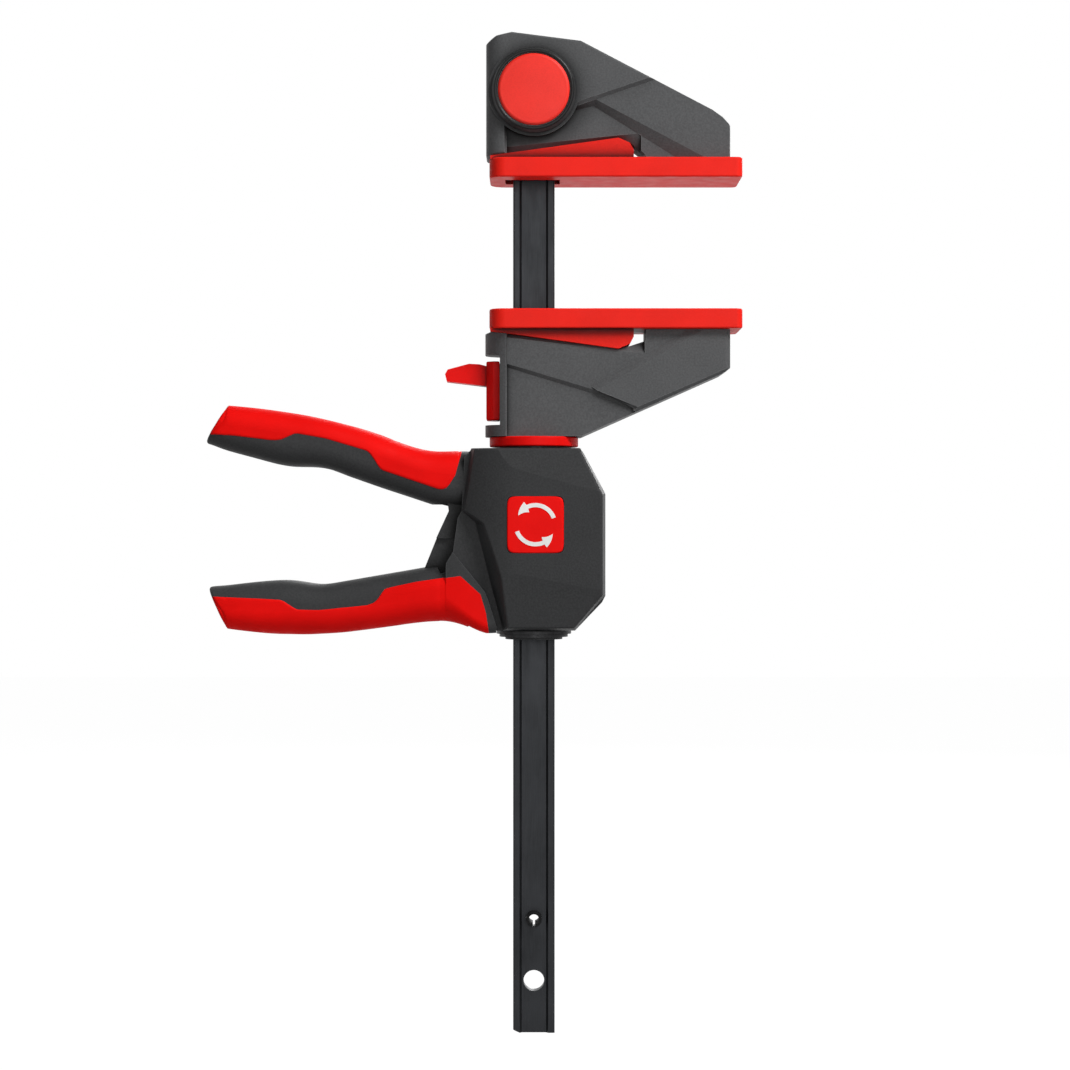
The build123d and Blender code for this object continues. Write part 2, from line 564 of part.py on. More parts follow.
with BuildPart() as fixed_jaw:
    with BuildSketch(Plane.XZ):
        Polygon(*fixed_outline, align=None)
    extrude(amount=JAW_HALF_T, both=True)
    fillet(fixed_jaw.edges().filter_by(Axis.Z).group_by(Axis.X)[0], JAW_HEEL_R)
    fillet(fixed_jaw.edges().filter_by(Axis.Z).group_by(Axis.X)[-1], JAW_TIP_R)
    side_faces = fixed_jaw.faces().sort_by(Axis.Y)
    fillet(side_faces[0].edges() + side_faces[-1].edges(), JAW_EDGE)
    for cutter in (fixed_step, fixed_low, fixed_bevel):
        add(cutter, mode=Mode.SUBTRACT)
        add(cutter.mirror(Plane.XZ), mode=Mode.SUBTRACT)
    add(front_boss.part)
    add(boss)
    # Blind slot for the rail, and the groove for the pad's key.
    with BuildSketch(Plane.XY.offset(0)):
        Rectangle(RAIL_SLOT_W, RAIL_SLOT_T)
    extrude(amount=RAIL_TOP + SEAT, mode=Mode.SUBTRACT)
    with BuildSketch(Plane.XY.offset(0)):
        with Locations(((PAD_KEY_LEFT + PAD_KEY_RIGHT) / 2, 0)):
            Rectangle(PAD_KEY_RIGHT - PAD_KEY_LEFT + 2 * SEAT, PAD_KEY_T + 2 * SEAT)
    extrude(amount=PAD_H + PAD_KEY_H + SEAT, mode=Mode.SUBTRACT)
    # Button pocket in front, slots for the yoke's legs, and the pocket behind for the bridge.
    add(cross_bar(0.0, LOCK_Z, BUTTON_R + SWEEP_GAP, -BOSS_FRONT - CUT_PAST, -POCKET_FLOOR),
        mode=Mode.SUBTRACT)
    with BuildSketch(Plane.XZ):
        for side in (-1, 1):
            with Locations((side * (BRIDGE_W - LEG_T) / 2, LOCK_Z)):
                Rectangle(LEG_T + 2 * SWEEP_GAP, LEG_H + 2 * SWEEP_GAP)
    extrude(amount=POCKET_FLOOR + CUT_PAST, both=True, mode=Mode.SUBTRACT)
    add(cross_bar(0.0, LOCK_Z, BRIDGE_POCKET_R, RAIL_SLOT_T / 2, BOSS_BACK + CUT_PAST), mode=Mode.SUBTRACT)
    add(cross_bar(0.0, LOCK_Z, COVER_R + RUNNING, BOSS_BACK - COVER_T - SEAT, BOSS_BACK + CUT_PAST),
        mode=Mode.SUBTRACT)
finish(fixed_jaw.part, "fixed_jaw")

with BuildPart() as lock_cover:
    add(cross_bar(0.0, LOCK_Z, COVER_R, BOSS_BACK - COVER_T - SEAT, BOSS_BACK - SEAT))
finish(lock_cover.part, "lock_cover")

bridge_front = RAIL_T / 2 + BRIDGE_GAP
bridge_mid = bridge_front + BRIDGE_T / 2
bridge_back = bridge_front + BRIDGE_T
yoke_screw_tip = bridge_front - YOKE_SCREW_LENGTH
with BuildPart() as lock_button:
    with BuildSketch(Plane.XZ.offset(BUTTON_FRONT - BUTTON_T)):
        with Locations((0, LOCK_Z)):
            Circle(BUTTON_R)
    extrude(amount=BUTTON_T - BUTTON_DOME)
    with BuildSketch(Plane.XZ.offset(BUTTON_FRONT - BUTTON_DOME)):
        with Locations((0, LOCK_Z)):
            Circle(BUTTON_R)
    extrude(amount=BUTTON_DOME, taper=BUTTON_DOME_TAPER)
    with BuildSketch(Plane.XZ.offset(-bridge_front)):
        for side in (-1, 1):
            with Locations((side * (BRIDGE_W - LEG_T) / 2, LOCK_Z)):
                Rectangle(LEG_T, LEG_H)
    extrude(amount=BUTTON_FRONT - BUTTON_T + bridge_front)
    for side in (-1, 1):
        screw_x = side * (BRIDGE_W - LEG_T) / 2
        add(cross_bar(screw_x, LOCK_Z, YOKE_SCREW_R + RUNNING, yoke_screw_tip, bridge_front),
            mode=Mode.SUBTRACT)
finish(lock_button.part, "lock_button")

with BuildPart() as lock_pin:
    with BuildSketch(Plane.XZ.offset(-bridge_back)):
        with Locations((0, LOCK_Z)):
            RectangleRounded(BRIDGE_W, BRIDGE_H, BRIDGE_CORNER_R)
    extrude(amount=BRIDGE_T)
    add(cross_bar(0.0, LOCK_Z, LOCK_HOLE_R - RUNNING, bridge_front - LOCK_TRAVEL, bridge_front))
    for side in (-1, 1):
        screw_x = side * (BRIDGE_W - LEG_T) / 2
        add(cross_bar(screw_x, LOCK_Z, YOKE_SCREW_R + RUNNING, bridge_front, bridge_back), mode=Mode.SUBTRACT)
        add(cross_bar(screw_x, LOCK_Z, YOKE_SCREW_HEAD_R + RUNNING, bridge_mid, bridge_back),
            mode=Mode.SUBTRACT)
finish(lock_pin.part, "lock_pin")

with BuildPart() as yoke_screws:
    for side in (-1, 1):
        screw_x = side * (BRIDGE_W - LEG_T) / 2
        add(cross_bar(screw_x, LOCK_Z, YOKE_SCREW_R, yoke_screw_tip + CUT_PAST, bridge_mid))
        add(cross_bar(screw_x, LOCK_Z, YOKE_SCREW_HEAD_R, bridge_mid, bridge_back))
finish(yoke_screws.part, "yoke_screws")

lock_spring = coil(
    LOCK_SPRING_R,
    LOCK_WIRE_R,
    (0, -POCKET_FLOOR - LOCK_WIRE_R - RUNNING, LOCK_Z),
    BUTTON_FRONT - BUTTON_T - POCKET_FLOOR - 2 * (LOCK_WIRE_R + RUNNING),
    LOCK_COILS,
    (0, -1, 0),
)
finish(lock_spring, "lock_spring")

# ================================================================ sliding jaw
pad_back = -OPENING - PAD_H
sliding_seat = [(x, -OPENING - z - SEAT) for x, z in WEDGE[:2]]
sliding_outline = [
    (GUARD_LEFT, sliding_seat[0][1] - SLIDING_HEEL_DROP),
    *sliding_seat,
    (NOSE_RELIEF[0][0], -OPENING - NOSE_RELIEF[0][1]),
    (SLIDING_NOSE_LEFT, pad_back - SLIDING_NOSE_STEP),
    (SLIDING_NOSE_LEFT, pad_back - SEAT),
    (JAW_TIP, pad_back - SEAT),
    *SLIDING_KEEL,
    (GUARD_LEFT, JAW_BOTTOM),
]
sliding_floor = JAW_HALF_T - 2 * PANEL_STEP
sliding_step = side_ruled(SLIDING_STEP_RIM, JAW_HALF_T, SLIDING_STEP_FLOOR, panel_mid)
sliding_low = side_ruled(SLIDING_LOW_RIM, panel_mid + CUT_LAP, SLIDING_LOW_FLOOR, sliding_floor)
sliding_bevel = side_ruled(SLIDING_BEVEL_RIM, panel_mid + CUT_LAP, SLIDING_BEVEL_END, panel_mid - BEVEL_DEPTH)
keel_bevel = side_ruled(KEEL_BEVEL_RIM, JAW_HALF_T + CUT_LAP, KEEL_BEVEL_END, JAW_HALF_T - BEVEL_DEPTH)
with BuildPart() as sliding_jaw:
    with BuildSketch(Plane.XZ):
        Polygon(*sliding_outline, align=None)
    extrude(amount=JAW_HALF_T, both=True)
    fillet(sliding_jaw.edges().filter_by(Axis.Z).group_by(Axis.X)[0], SLIDING_HEEL_R)
    fillet(sliding_jaw.edges().filter_by(Axis.Z).group_by(Axis.X)[-1], JAW_TIP_R)
    for cutter in (sliding_step, sliding_low, sliding_bevel, keel_bevel):
        add(cutter, mode=Mode.SUBTRACT)
        add(cutter.mirror(Plane.XZ), mode=Mode.SUBTRACT)
    # Notch on the left for the release slide, between an upper and a lower guard.
    with BuildSketch(Plane.XZ):
        Polygon(
            (GUARD_LEFT - CUT_PAST, GUARD_BOTTOM),
            (COLUMN_LEFT, GUARD_BOTTOM),
            (COLUMN_LEFT, SLIDE_BOTTOM - SLIDE_TRAVEL - SEAT),
            (GUARD_LEFT - CUT_PAST, SLIDE_BOTTOM - SLIDE_TRAVEL - SEAT),
            align=None,
        )
    extrude(amount=JAW_HALF_T + CUT_PAST, both=True, mode=Mode.SUBTRACT)
    # Passage for the rail, and the brake chamber that opens downwards.
    with BuildSketch(Plane.XY.offset(pad_back - WEDGE[1][1])):
        Rectangle(RAIL_SLOT_W, RAIL_SLOT_T)
    extrude(amount=2 * WEDGE[1][1], mode=Mode.SUBTRACT)
    with BuildSketch(Plane.XY.offset(JAW_BOTTOM - CUT_PAST)):
        Rectangle(RAIL_SLOT_W, RAIL_SLOT_T)
    extrude(amount=-JAW_BOTTOM + pad_back, mode=Mode.SUBTRACT)
    with BuildSketch(Plane.XY.offset(JAW_BOTTOM - CUT_PAST)):
        with Locations(((BRAKE_LEFT + BRAKE_RIGHT) / 2, 0)):
            Rectangle(BRAKE_RIGHT - BRAKE_LEFT, 2 * BRAKE_HALF_T)
    extrude(amount=BRAKE_ROOF - JAW_BOTTOM + CUT_PAST, mode=Mode.SUBTRACT)
    # Slot through the column for the release slide's foot.
    foot_slot_bottom = BRAKE_HINGE_Z - SLIDE_TRAVEL - SEAT
    with BuildSketch(Plane.XY.offset(foot_slot_bottom)):
        with Locations(((COLUMN_LEFT + BRAKE_LEFT) / 2, 0)):
            Rectangle(2 * (BRAKE_LEFT - COLUMN_LEFT), FOOT_W + 2 * SWEEP_GAP)
    extrude(amount=BRAKE_ROOF - foot_slot_bottom, mode=Mode.SUBTRACT)
    # Holes for the fulcrum pin and the core's cross pin.
    fulcrum_z = BRAKE_HINGE_Z + FULCRUM_R + PLATE_GAP
    pin_hole_front = -PIN_FRONT - FACE_GAP
    add(cross_bar(BRAKE_HINGE_X, fulcrum_z, FULCRUM_R + SNUG, pin_hole_front, JAW_HALF_T), mode=Mode.SUBTRACT)
    head_pin_z = (CORE_HEAD_TOP + JAW_BOTTOM) / 2
    add(cross_bar(HEAD_PIN_X, head_pin_z, HEAD_PIN_R + RUNNING, pin_hole_front, JAW_HALF_T),
        mode=Mode.SUBTRACT)
    # Groove for the pad's key.
    with BuildSketch(Plane.XY.offset(pad_back + CUT_PAST)):
        with Locations(((PAD_KEY_LEFT + PAD_KEY_RIGHT) / 2, 0)):
            Rectangle(PAD_KEY_RIGHT - PAD_KEY_LEFT + 2 * SEAT, PAD_KEY_T + 2 * SEAT)
    extrude(amount=-PAD_KEY_H - SEAT - CUT_PAST, mode=Mode.SUBTRACT)
finish(sliding_jaw.part, "sliding_jaw")

with BuildPart() as fulcrum_pin:
    add(cross_bar(BRAKE_HINGE_X, fulcrum_z, FULCRUM_R, -PIN_FRONT, sliding_floor))
finish(fulcrum_pin.part, "fulcrum_pin")

brake_lean = radians(BRAKE_TILT)
brake_left = BRAKE_LEFT + BRAKE_SIDE_GAP
brake_axis_z = BRAKE_HINGE_Z + BRAKE_HINGE_X * tan(brake_lean) - PLATE_T / 2 / cos(brake_lean)
for name, level in (("brake_plate_upper", 0), ("brake_plate_lower", 1)):
    plate = jammed_plate(
        BRAKE_RIGHT - BRAKE_LEFT - 2 * BRAKE_SIDE_GAP,
        2 * BRAKE_HALF_T - 2 * BRAKE_SIDE_GAP,
        brake_left,
        brake_axis_z - level * (PLATE_T + PLATE_GAP),
        BRAKE_TILT,
    )
    finish(plate, name)

brake_pack_bottom = brake_axis_z - 1.5 * PLATE_T - PLATE_GAP
brake_spring_bottom = CORE_HEAD_TOP + BRAKE_WIRE_R + RUNNING
brake_spring_top = brake_pack_bottom - BRAKE_SPRING_R * sin(brake_lean) - BRAKE_WIRE_R - SWEEP_GAP
brake_spring = coil(
    BRAKE_SPRING_R,
    BRAKE_WIRE_R,
    (0, 0, brake_spring_bottom),
    brake_spring_top - brake_spring_bottom,
    BRAKE_COILS,
    (0, 0, 1),
)
finish(brake_spring, "brake_spring")

# ================================================================ core sleeve and its rings
with BuildPart() as core_sleeve:
    with BuildSketch(Plane.XY.offset(CORE_HEAD_TOP)):
        with Locations(((BRAKE_LEFT + BRAKE_RIGHT) / 2, 0)):
            Rectangle(BRAKE_RIGHT - BRAKE_LEFT - 2 * SEAT, 2 * BRAKE_HALF_T - 2 * SEAT)
    extrude(amount=JAW_BOTTOM - CORE_HEAD_TOP)
    with BuildSketch(Plane.XY.offset(JAW_BOTTOM)):
        Circle(CORE_R)
    extrude(amount=CAGE_TOP - JAW_BOTTOM)
    with BuildSketch(Plane.XY.offset(CAGE_TOP)):
        for side in (-1, 1):
            with Locations((0, side * (CAGE_BAR_IN + CAGE_BAR_OUT) / 2)):
                Rectangle(CAGE_BAR_W, CAGE_BAR_OUT - CAGE_BAR_IN)
    extrude(amount=CAGE_BOTTOM - CAGE_TOP)
    with BuildSketch(Plane.XY.offset(CAGE_BOTTOM)):
        Circle(CORE_R)
    extrude(amount=CORE_BOTTOM - CAGE_BOTTOM)
    with BuildSketch(Plane.XY.offset(CORE_BOTTOM)):
        Rectangle(RAIL_SLOT_W, RAIL_SLOT_T)
    extrude(amount=CORE_HEAD_TOP - CORE_BOTTOM, mode=Mode.SUBTRACT)
    retainer_top = END_WASHER_TOP - END_WASHER_T - FACE_GAP
    retainer_bottom = retainer_top - RETAINER_T
    add(upright_ring(CORE_R + CUT_PAST, CORE_R - RETAINER_GROOVE, retainer_bottom - FACE_GAP, retainer_top),
        mode=Mode.SUBTRACT)
    add(cross_bar(HEAD_PIN_X, head_pin_z, HEAD_PIN_R + RUNNING, -JAW_HALF_T, JAW_HALF_T), mode=Mode.SUBTRACT)
finish(core_sleeve.part, "core_sleeve")

with BuildPart() as head_pin:
    add(cross_bar(HEAD_PIN_X, head_pin_z, HEAD_PIN_R, -PIN_FRONT, sliding_floor))
finish(head_pin.part, "head_pin")

with BuildPart() as collar_ring:
    add(upright_ring(COLLAR_R, CORE_R + RUNNING, COLLAR_BOTTOM, JAW_BOTTOM - FACE_GAP))
    fillet(collar_ring.edges().filter_by(GeomType.CIRCLE).group_by(SortBy.RADIUS)[-1], COLLAR_EDGE_R)
finish(collar_ring.part, "collar_ring")

with BuildPart() as top_washer:
    washer_top = COLLAR_BOTTOM - FACE_GAP
    add(upright_ring(WASHER_R, CORE_R + RUNNING, washer_top - WASHER_T, washer_top))
finish(top_washer.part, "top_washer")

with BuildPart() as end_washer:
    add(upright_ring(WASHER_R, CORE_R + RUNNING, END_WASHER_TOP - END_WASHER_T, END_WASHER_TOP))
finish(end_washer.part, "end_washer")

with BuildPart() as retaining_ring:
    retainer_seat_r = CORE_R - RETAINER_GROOVE + SNUG
    add(upright_ring(RETAINER_R, retainer_seat_r, retainer_bottom - RUNNING, retainer_top - RUNNING))
    with BuildSketch(Plane.XY.offset(retainer_top)):
        with Locations((RETAINER_R, 0)):
            Rectangle(2 * RETAINER_R - CORE_R, RETAINER_SPLIT)
    extrude(amount=-2 * RETAINER_T, mode=Mode.SUBTRACT)
finish(retaining_ring.part, "retaining_ring")

# ================================================================ release slide
foot_top_left = BRAKE_HINGE_Z + (BRAKE_HINGE_X - brake_left) * tan(brake_lean)
foot_bottom = foot_top_left + SLIDING
with BuildPart() as release_slide:
    with BuildSketch(Plane.XY.offset(SLIDE_BOTTOM)):
        with Locations(((SLIDE_LEFT + SLIDE_RIGHT) / 2, 0)):
            Rectangle(SLIDE_RIGHT - SLIDE_LEFT, SLIDE_W)
    extrude(amount=SLIDE_TOP - SLIDE_BOTTOM)
    chamfer(release_slide.edges().filter_by(Axis.Z).group_by(Axis.X)[0], SLIDE_CHAMFER)
    fillet(release_slide.faces().filter_by(Axis.Z).edges(), SLIDE_EDGE_R)
    with BuildSketch(Plane.XZ):
        Polygon(*TAB, align=None)
    extrude(amount=TAB_W / 2, both=True)
    with BuildSketch(Plane.XY.offset(foot_bottom)):
        with Locations(((SLIDE_RIGHT - FOOT_LAP + FOOT_RIGHT) / 2, 0)):
            Rectangle(FOOT_RIGHT - SLIDE_RIGHT + FOOT_LAP, FOOT_W)
    extrude(amount=FOOT_H)
finish(release_slide.part, "release_slide")

# ================================================================ handle frame and covers
with BuildPart() as chamber:
    add(upright_disc(CHAMBER_R, CHAMBER_BOTTOM, CHAMBER_TOP))
    add(upright_disc(SPRING_WELL_R, SPRING_WELL_BOTTOM, CHAMBER_BOTTOM))
    with BuildSketch(Plane.XY.offset(FORK_ROOM_BOTTOM)):
        with Locations((FORK_ROOM_X, 0)):
            Rectangle(FORK_ROOM_W, 2 * CHAMBER_DEPTH)
    extrude(amount=CHAMBER_TOP - FORK_ROOM_BOTTOM)

handle_shape = grip_form(HANDLE_TOP, HANDLE_UNDER, HANDLE_HALF_T, HANDLE_SECTIONS, HANDLE_TIP)
handle_red = side_prism(HANDLE_GRIP_EDGE, 2 * FRAME_HALF_T)
handle_tang = side_prism(HANDLE_TANG, FRAME_HALF_T - TANG_COVER)
rail_passage = upright_disc(CORE_R + RUNNING, HOUSING_BOTTOM - CUT_PAST, HOUSING_TOP + CUT_PAST)

with BuildPart() as handle_grip:
    add(handle_shape)
    add(handle_red, mode=Mode.INTERSECT)
    add(handle_tang, mode=Mode.SUBTRACT)
finish(handle_grip.part, "handle_grip")

with BuildPart() as handle_frame:
    add(handle_shape)
    add(handle_red, mode=Mode.SUBTRACT)
    add(handle_tang)
    add(side_prism(FLANK_LEFT + HOUSING_RIGHT, FRAME_HALF_T))
    add(side_prism(UPPER_WEB, WEB_OUT))
    add(chamber.part, mode=Mode.SUBTRACT)
    # Slot that the lever's fin swings in, open to the left and below.
    add(side_prism(FIN_SLOT, FLANK_IN), mode=Mode.SUBTRACT)
    add(rail_passage, mode=Mode.SUBTRACT)
    add(cross_bar(PIVOT_X, PIVOT_Z, PIVOT_R + RUNNING, -CHEEK_OUT, CHEEK_OUT), mode=Mode.SUBTRACT)
    for x, z, _ in COVER_SCREWS:
        add(cross_bar(x, z, SCREW_R + RUNNING, -CHEEK_OUT, CHEEK_OUT), mode=Mode.SUBTRACT)
finish(handle_frame.part, "handle_frame")

cover_blank = side_ruled(COVER_RIM, FRAME_HALF_T, COVER_FACE, COVER_HALF_T)
with BuildPart() as curve_cut:
    with BuildSketch(Plane.XY.offset(HOUSING_BOTTOM - CUT_PAST)):
        with BuildLine():
            side_curve = JernArc((COVER_CURVE_X, -COVER_HALF_T), (-1, 0), COVER_CURVE_R, -COVER_CURVE_DEG)
            curve_end = side_curve @ 1
            Polyline(
                curve_end,
                (curve_end.X, -COVER_HALF_T - CUT_PAST),
                (COVER_CURVE_X, -COVER_HALF_T - CUT_PAST),
                (COVER_CURVE_X, -COVER_HALF_T),
            )
        make_face()
    extrude(amount=HOUSING_TOP - HOUSING_BOTTOM + 2 * CUT_PAST)


def facet_cut(crease, slope_deg, side):
    """A cutter for a sloping slice off the cover's face, above a crease (side 1) or below it (side -1)."""
    (x0, z0), (x1, z1) = crease
    along = Vector(x1 - x0, 0, z1 - z0).normalized()
    down_slope = Vector(-along.Z, 0, along.X) * side
    slope = radians(slope_deg)
    facet_reach = HOUSING_TOP - HOUSING_BOTTOM
    plane = Plane(origin=(x0, -COVER_HALF_T, z0), x_dir=down_slope, z_dir=along)
    deeper = 1 if plane.y_dir.Y > 0 else -1
    with BuildPart() as cutter:
        with BuildSketch(plane.offset(-facet_reach)):
            Polygon(
                (0, 0),
                (facet_reach * cos(slope), deeper * facet_reach * sin(slope)),
                (facet_reach * cos(slope), -deeper * CUT_PAST),
                (0, -deeper * CUT_PAST),
                align=None,
            )
        extrude(amount=3 * facet_reach)
    return cutter.part


def housing_cover(front):
    """A cover of the gear case; front is 1 for the front one and -1 for the rear one."""
    with BuildPart() as cover:
        add(cover_blank)
        add(curve_cut.part, mode=Mode.SUBTRACT)
        add(facet_cut(UPPER_CREASE, UPPER_FACET_DEG, 1), mode=Mode.SUBTRACT)
        add(facet_cut(LOWER_CREASE, LOWER_FACET_DEG, -1), mode=Mode.SUBTRACT)
        outward = cover.faces().filter_by(lambda face: face.normal_at().Y < -FACE_OUTWARD)
        shared = [edge for face in outward for edge in face.edges()]
        rim = [edge for edge in shared if sum(edge.is_same(other) for other in shared) == 1]
        fillet(rim, COVER_EDGE_R)
        add(chamber.part, mode=Mode.SUBTRACT)
        add(rail_passage, mode=Mode.SUBTRACT)
        if front > 0:
            with BuildSketch(Plane.XZ.offset(COVER_HALF_T - BADGE_SINK)):
                with Locations((BADGE_X, BADGE_Z)):
                    RectangleRounded(BADGE_W + 2 * RUNNING, BADGE_W + 2 * RUNNING, BADGE_R)
            extrude(amount=2 * BADGE_SINK, mode=Mode.SUBTRACT)
        for x, z, head_y in COVER_SCREWS:
            shank_end = SCREW_TIP + SCREW_ROOM if front > 0 else COVER_HALF_T + CUT_PAST
            add(cross_bar(x, z, SCREW_R + RUNNING, -shank_end, 0), mode=Mode.SUBTRACT)
            if front < 0:
                add(cross_bar(x, z, SCREW_HEAD_R + RUNNING, -shank_end, -head_y), mode=Mode.SUBTRACT)
    return cover.part if front > 0 else cover.part.mirror(Plane.XZ)


finish(housing_cover(1), "cover_front")
finish(housing_cover(-1), "cover_rear")

with BuildPart() as cover_screws:
    for x, z, head_y in COVER_SCREWS:
        add(cross_bar(x, z, SCREW_R, -SCREW_TIP, head_y))
        add(cross_bar(x, z, SCREW_HEAD_R, head_y, head_y + SCREW_HEAD_T))
finish(cover_screws.part, "cover_screws")

with BuildPart() as badge:
    with BuildSketch(Plane.XZ.offset(COVER_HALF_T - BADGE_SINK)):
        with Locations((BADGE_X, BADGE_Z)):
            RectangleRounded(BADGE_W, BADGE_W, BADGE_R)
    extrude(amount=BADGE_T)
finish(badge.part, "badge")

with BuildPart() as pivot_pin:
    add(cross_bar(PIVOT_X, PIVOT_Z, PIVOT_R, -PIVOT_HALF_LENGTH, PIVOT_HALF_LENGTH))
finish(pivot_pin.part, "pivot_pin")

# ================================================================ lever
def root_form(inset):
    """The lever's flared root, rounded below, drawn in by the inset all round."""
    with BuildPart() as form:
        for x, bottom, half_thickness, edge_r in ROOT_STATIONS:
            with BuildSketch(Plane.YZ.offset(x)):
                with Locations((0, (ROOT_ROOF + bottom) / 2)):
                    RectangleRounded(2 * (half_thickness - inset), ROOT_ROOF - bottom - 2 * inset,
                                     edge_r - inset)
        loft()
    return form.part


lever_shape = grip_form(LEVER_TOP, LEVER_UNDER, LEVER_HALF_T, LEVER_SECTIONS, LEVER_TIP)
with BuildPart() as lever_root:
    add(root_form(0))
    add(side_prism(LEVER_ROOT, CHEEK_OUT + CUT_PAST), mode=Mode.INTERSECT)
with BuildPart() as cheek_core:
    add(root_form(ROOT_SKIN))
    add(side_prism(CHEEK_CORE_SIDE, CHEEK_OUT), mode=Mode.INTERSECT)
lever_red = side_prism(LEVER_GRIP_EDGE, 2 * CHEEK_OUT)
wall_gap = side_prism(LEVER_SLOT, FRAME_HALF_T + SWEEP_GAP)
lever_fin = side_prism(LEVER_FIN, LEVER_FIN_HALF_T)

with BuildPart() as lever_tang:
    add(side_prism(LEVER_TANG, FRAME_HALF_T - TANG_COVER))
    add(cheek_core.part)

with BuildPart() as lever_grip:
    add(lever_shape)
    add(lever_root.part)
    add(lever_red, mode=Mode.INTERSECT)
    add(lever_tang.part, mode=Mode.SUBTRACT)
    add(lever_fin, mode=Mode.SUBTRACT)
    add(wall_gap, mode=Mode.SUBTRACT)
finish(lever_grip.part, "lever_grip")

with BuildPart() as lever_core:
    add(lever_shape)
    add(lever_root.part)
    add(lever_red, mode=Mode.SUBTRACT)
    add(lever_tang.part)
    add(wall_gap, mode=Mode.SUBTRACT)
    add(lever_fin)
    for side in (-1, 1):
        near, far = sorted((side * HUB_HALF_T, side * (FRAME_HALF_T + SWEEP_GAP)))
        add(cross_bar(PIVOT_X, PIVOT_Z, HUB_POCKET_R, near, far), mode=Mode.SUBTRACT)
    pivot_hole_end = PIVOT_HALF_LENGTH + FACE_GAP
    add(cross_bar(PIVOT_X, PIVOT_Z, PIVOT_R + RUNNING, -pivot_hole_end, pivot_hole_end), mode=Mode.SUBTRACT)
    # Pocket for the fork's tail, and the rivets' holes.
    fork_bottom = FORK_TOP - FORK_T
    fork_pocket = [
        (FORK_TAIL_LEFT - SEAT, fork_bottom),
        (FORK_POCKET_RIGHT, fork_bottom),
        (FORK_POCKET_RIGHT, FORK_TOP),
        (FORK_TAIL_LEFT - SEAT, FORK_TOP),
    ]
    add(side_prism(fork_pocket, FORK_TAIL_W / 2 + RUNNING), mode=Mode.SUBTRACT)
    for x in RIVET_X:
        add(upright_bar(x, RIVET_R, fork_bottom - RIVET_REACH, FORK_TOP + RIVET_REACH), mode=Mode.SUBTRACT)
finish(lever_core.part, "lever_core")

with BuildPart() as drive_fork:
    with BuildSketch(Plane.XY.offset(fork_bottom)):
        Circle(FORK_R)
        with Locations((FORK_NOSE_R, -CHAMBER_R)):
            Rectangle(CHAMBER_R, 2 * CHAMBER_R, align=(Align.MIN, Align.MIN), mode=Mode.SUBTRACT)
        Rectangle(2 * CHAMBER_R, 2 * FORK_OUT, mode=Mode.INTERSECT)
        with Locations((FORK_TAIL_LEFT, 0)):
            Rectangle(-FORK_TAIL_LEFT + FORK_SLOT_X, FORK_TAIL_W, align=(Align.MIN, Align.CENTER))
        with Locations((FORK_SLOT_X, 0)):
            Circle(FORK_SLOT_R, mode=Mode.SUBTRACT)
            Rectangle(CHAMBER_R, 2 * FORK_SLOT_R, align=(Align.MIN, Align.CENTER), mode=Mode.SUBTRACT)
    extrude(amount=FORK_T)
    for side in (-1, 1):
        near, far = sorted((side * FORK_IN, side * (FORK_OUT - FORK_NOSE_INSET)))
        add(cross_bar(0.0, fork_bottom + FORK_NOSE_R - NOSE_DROP, FORK_NOSE_R, near, far))
    for x in RIVET_X:
        add(upright_bar(x, RIVET_R, fork_bottom - CUT_PAST, FORK_TOP + CUT_PAST), mode=Mode.SUBTRACT)
finish(drive_fork.part, "drive_fork")

with BuildPart() as fork_rivets:
    for x in RIVET_X:
        add(upright_bar(x, RIVET_R - RUNNING, fork_bottom - RIVET_REACH, FORK_TOP + RIVET_REACH))
finish(fork_rivets.part, "fork_rivets")

lever_spring = coil(
    LEVER_SPRING_R,
    LEVER_WIRE_R,
    (PIVOT_X, HUB_HALF_T + LEVER_WIRE_R + FACE_GAP, PIVOT_Z),
    FLANK_IN - HUB_HALF_T - 2 * (LEVER_WIRE_R + SEAT),
    LEVER_COILS,
    (0, 1, 0),
)
finish(lever_spring, "lever_spring")

# ================================================================ drive
ring_top = fork_bottom - NOSE_DROP - FACE_GAP
plates_top = ring_top - RING_T - FACE_GAP
plate_pitch = PLATE_T + PLATE_GAP
with BuildPart() as thrust_ring:
    add(upright_ring(RING_OUT, RING_IN, ring_top - RING_T, ring_top))
finish(thrust_ring.part, "thrust_ring")

drive_lean = radians(DRIVE_TILT)
drive_rise = DRIVE_PLATE_W / 2 * sin(drive_lean) + PLATE_T / 2
for number in range(DRIVE_PLATES):
    plate = jammed_plate(
        DRIVE_PLATE_W,
        DRIVE_PLATE_D,
        -DRIVE_PLATE_W / 2,
        plates_top - drive_rise - number * plate_pitch,
        DRIVE_TILT,
    )
    finish(plate, f"drive_plate_{number + 1}")

drive_spring_top = plates_top - 2 * drive_rise - (DRIVE_PLATES - 1) * plate_pitch - SEAT
drive_spring = coil(
    DRIVE_SPRING_R,
    DRIVE_WIRE_R,
    (0, 0, SPRING_WELL_BOTTOM + DRIVE_WIRE_R + FACE_GAP),
    drive_spring_top - SPRING_WELL_BOTTOM - 2 * (DRIVE_WIRE_R + FACE_GAP),
    DRIVE_COILS,
    (0, 0, 1),
)
finish(drive_spring, "drive_spring")
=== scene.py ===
"""Dresses the quick release bar clamp: moulded plastic, soft grips, burnished steel and a plain studio.

Metres, in the clamp's own frame: +Z runs up the rail, +X points along the jaws, -Y is the front.
Shapes are worked out in millimetres and scaled once, when a mesh is made.
"""

import math

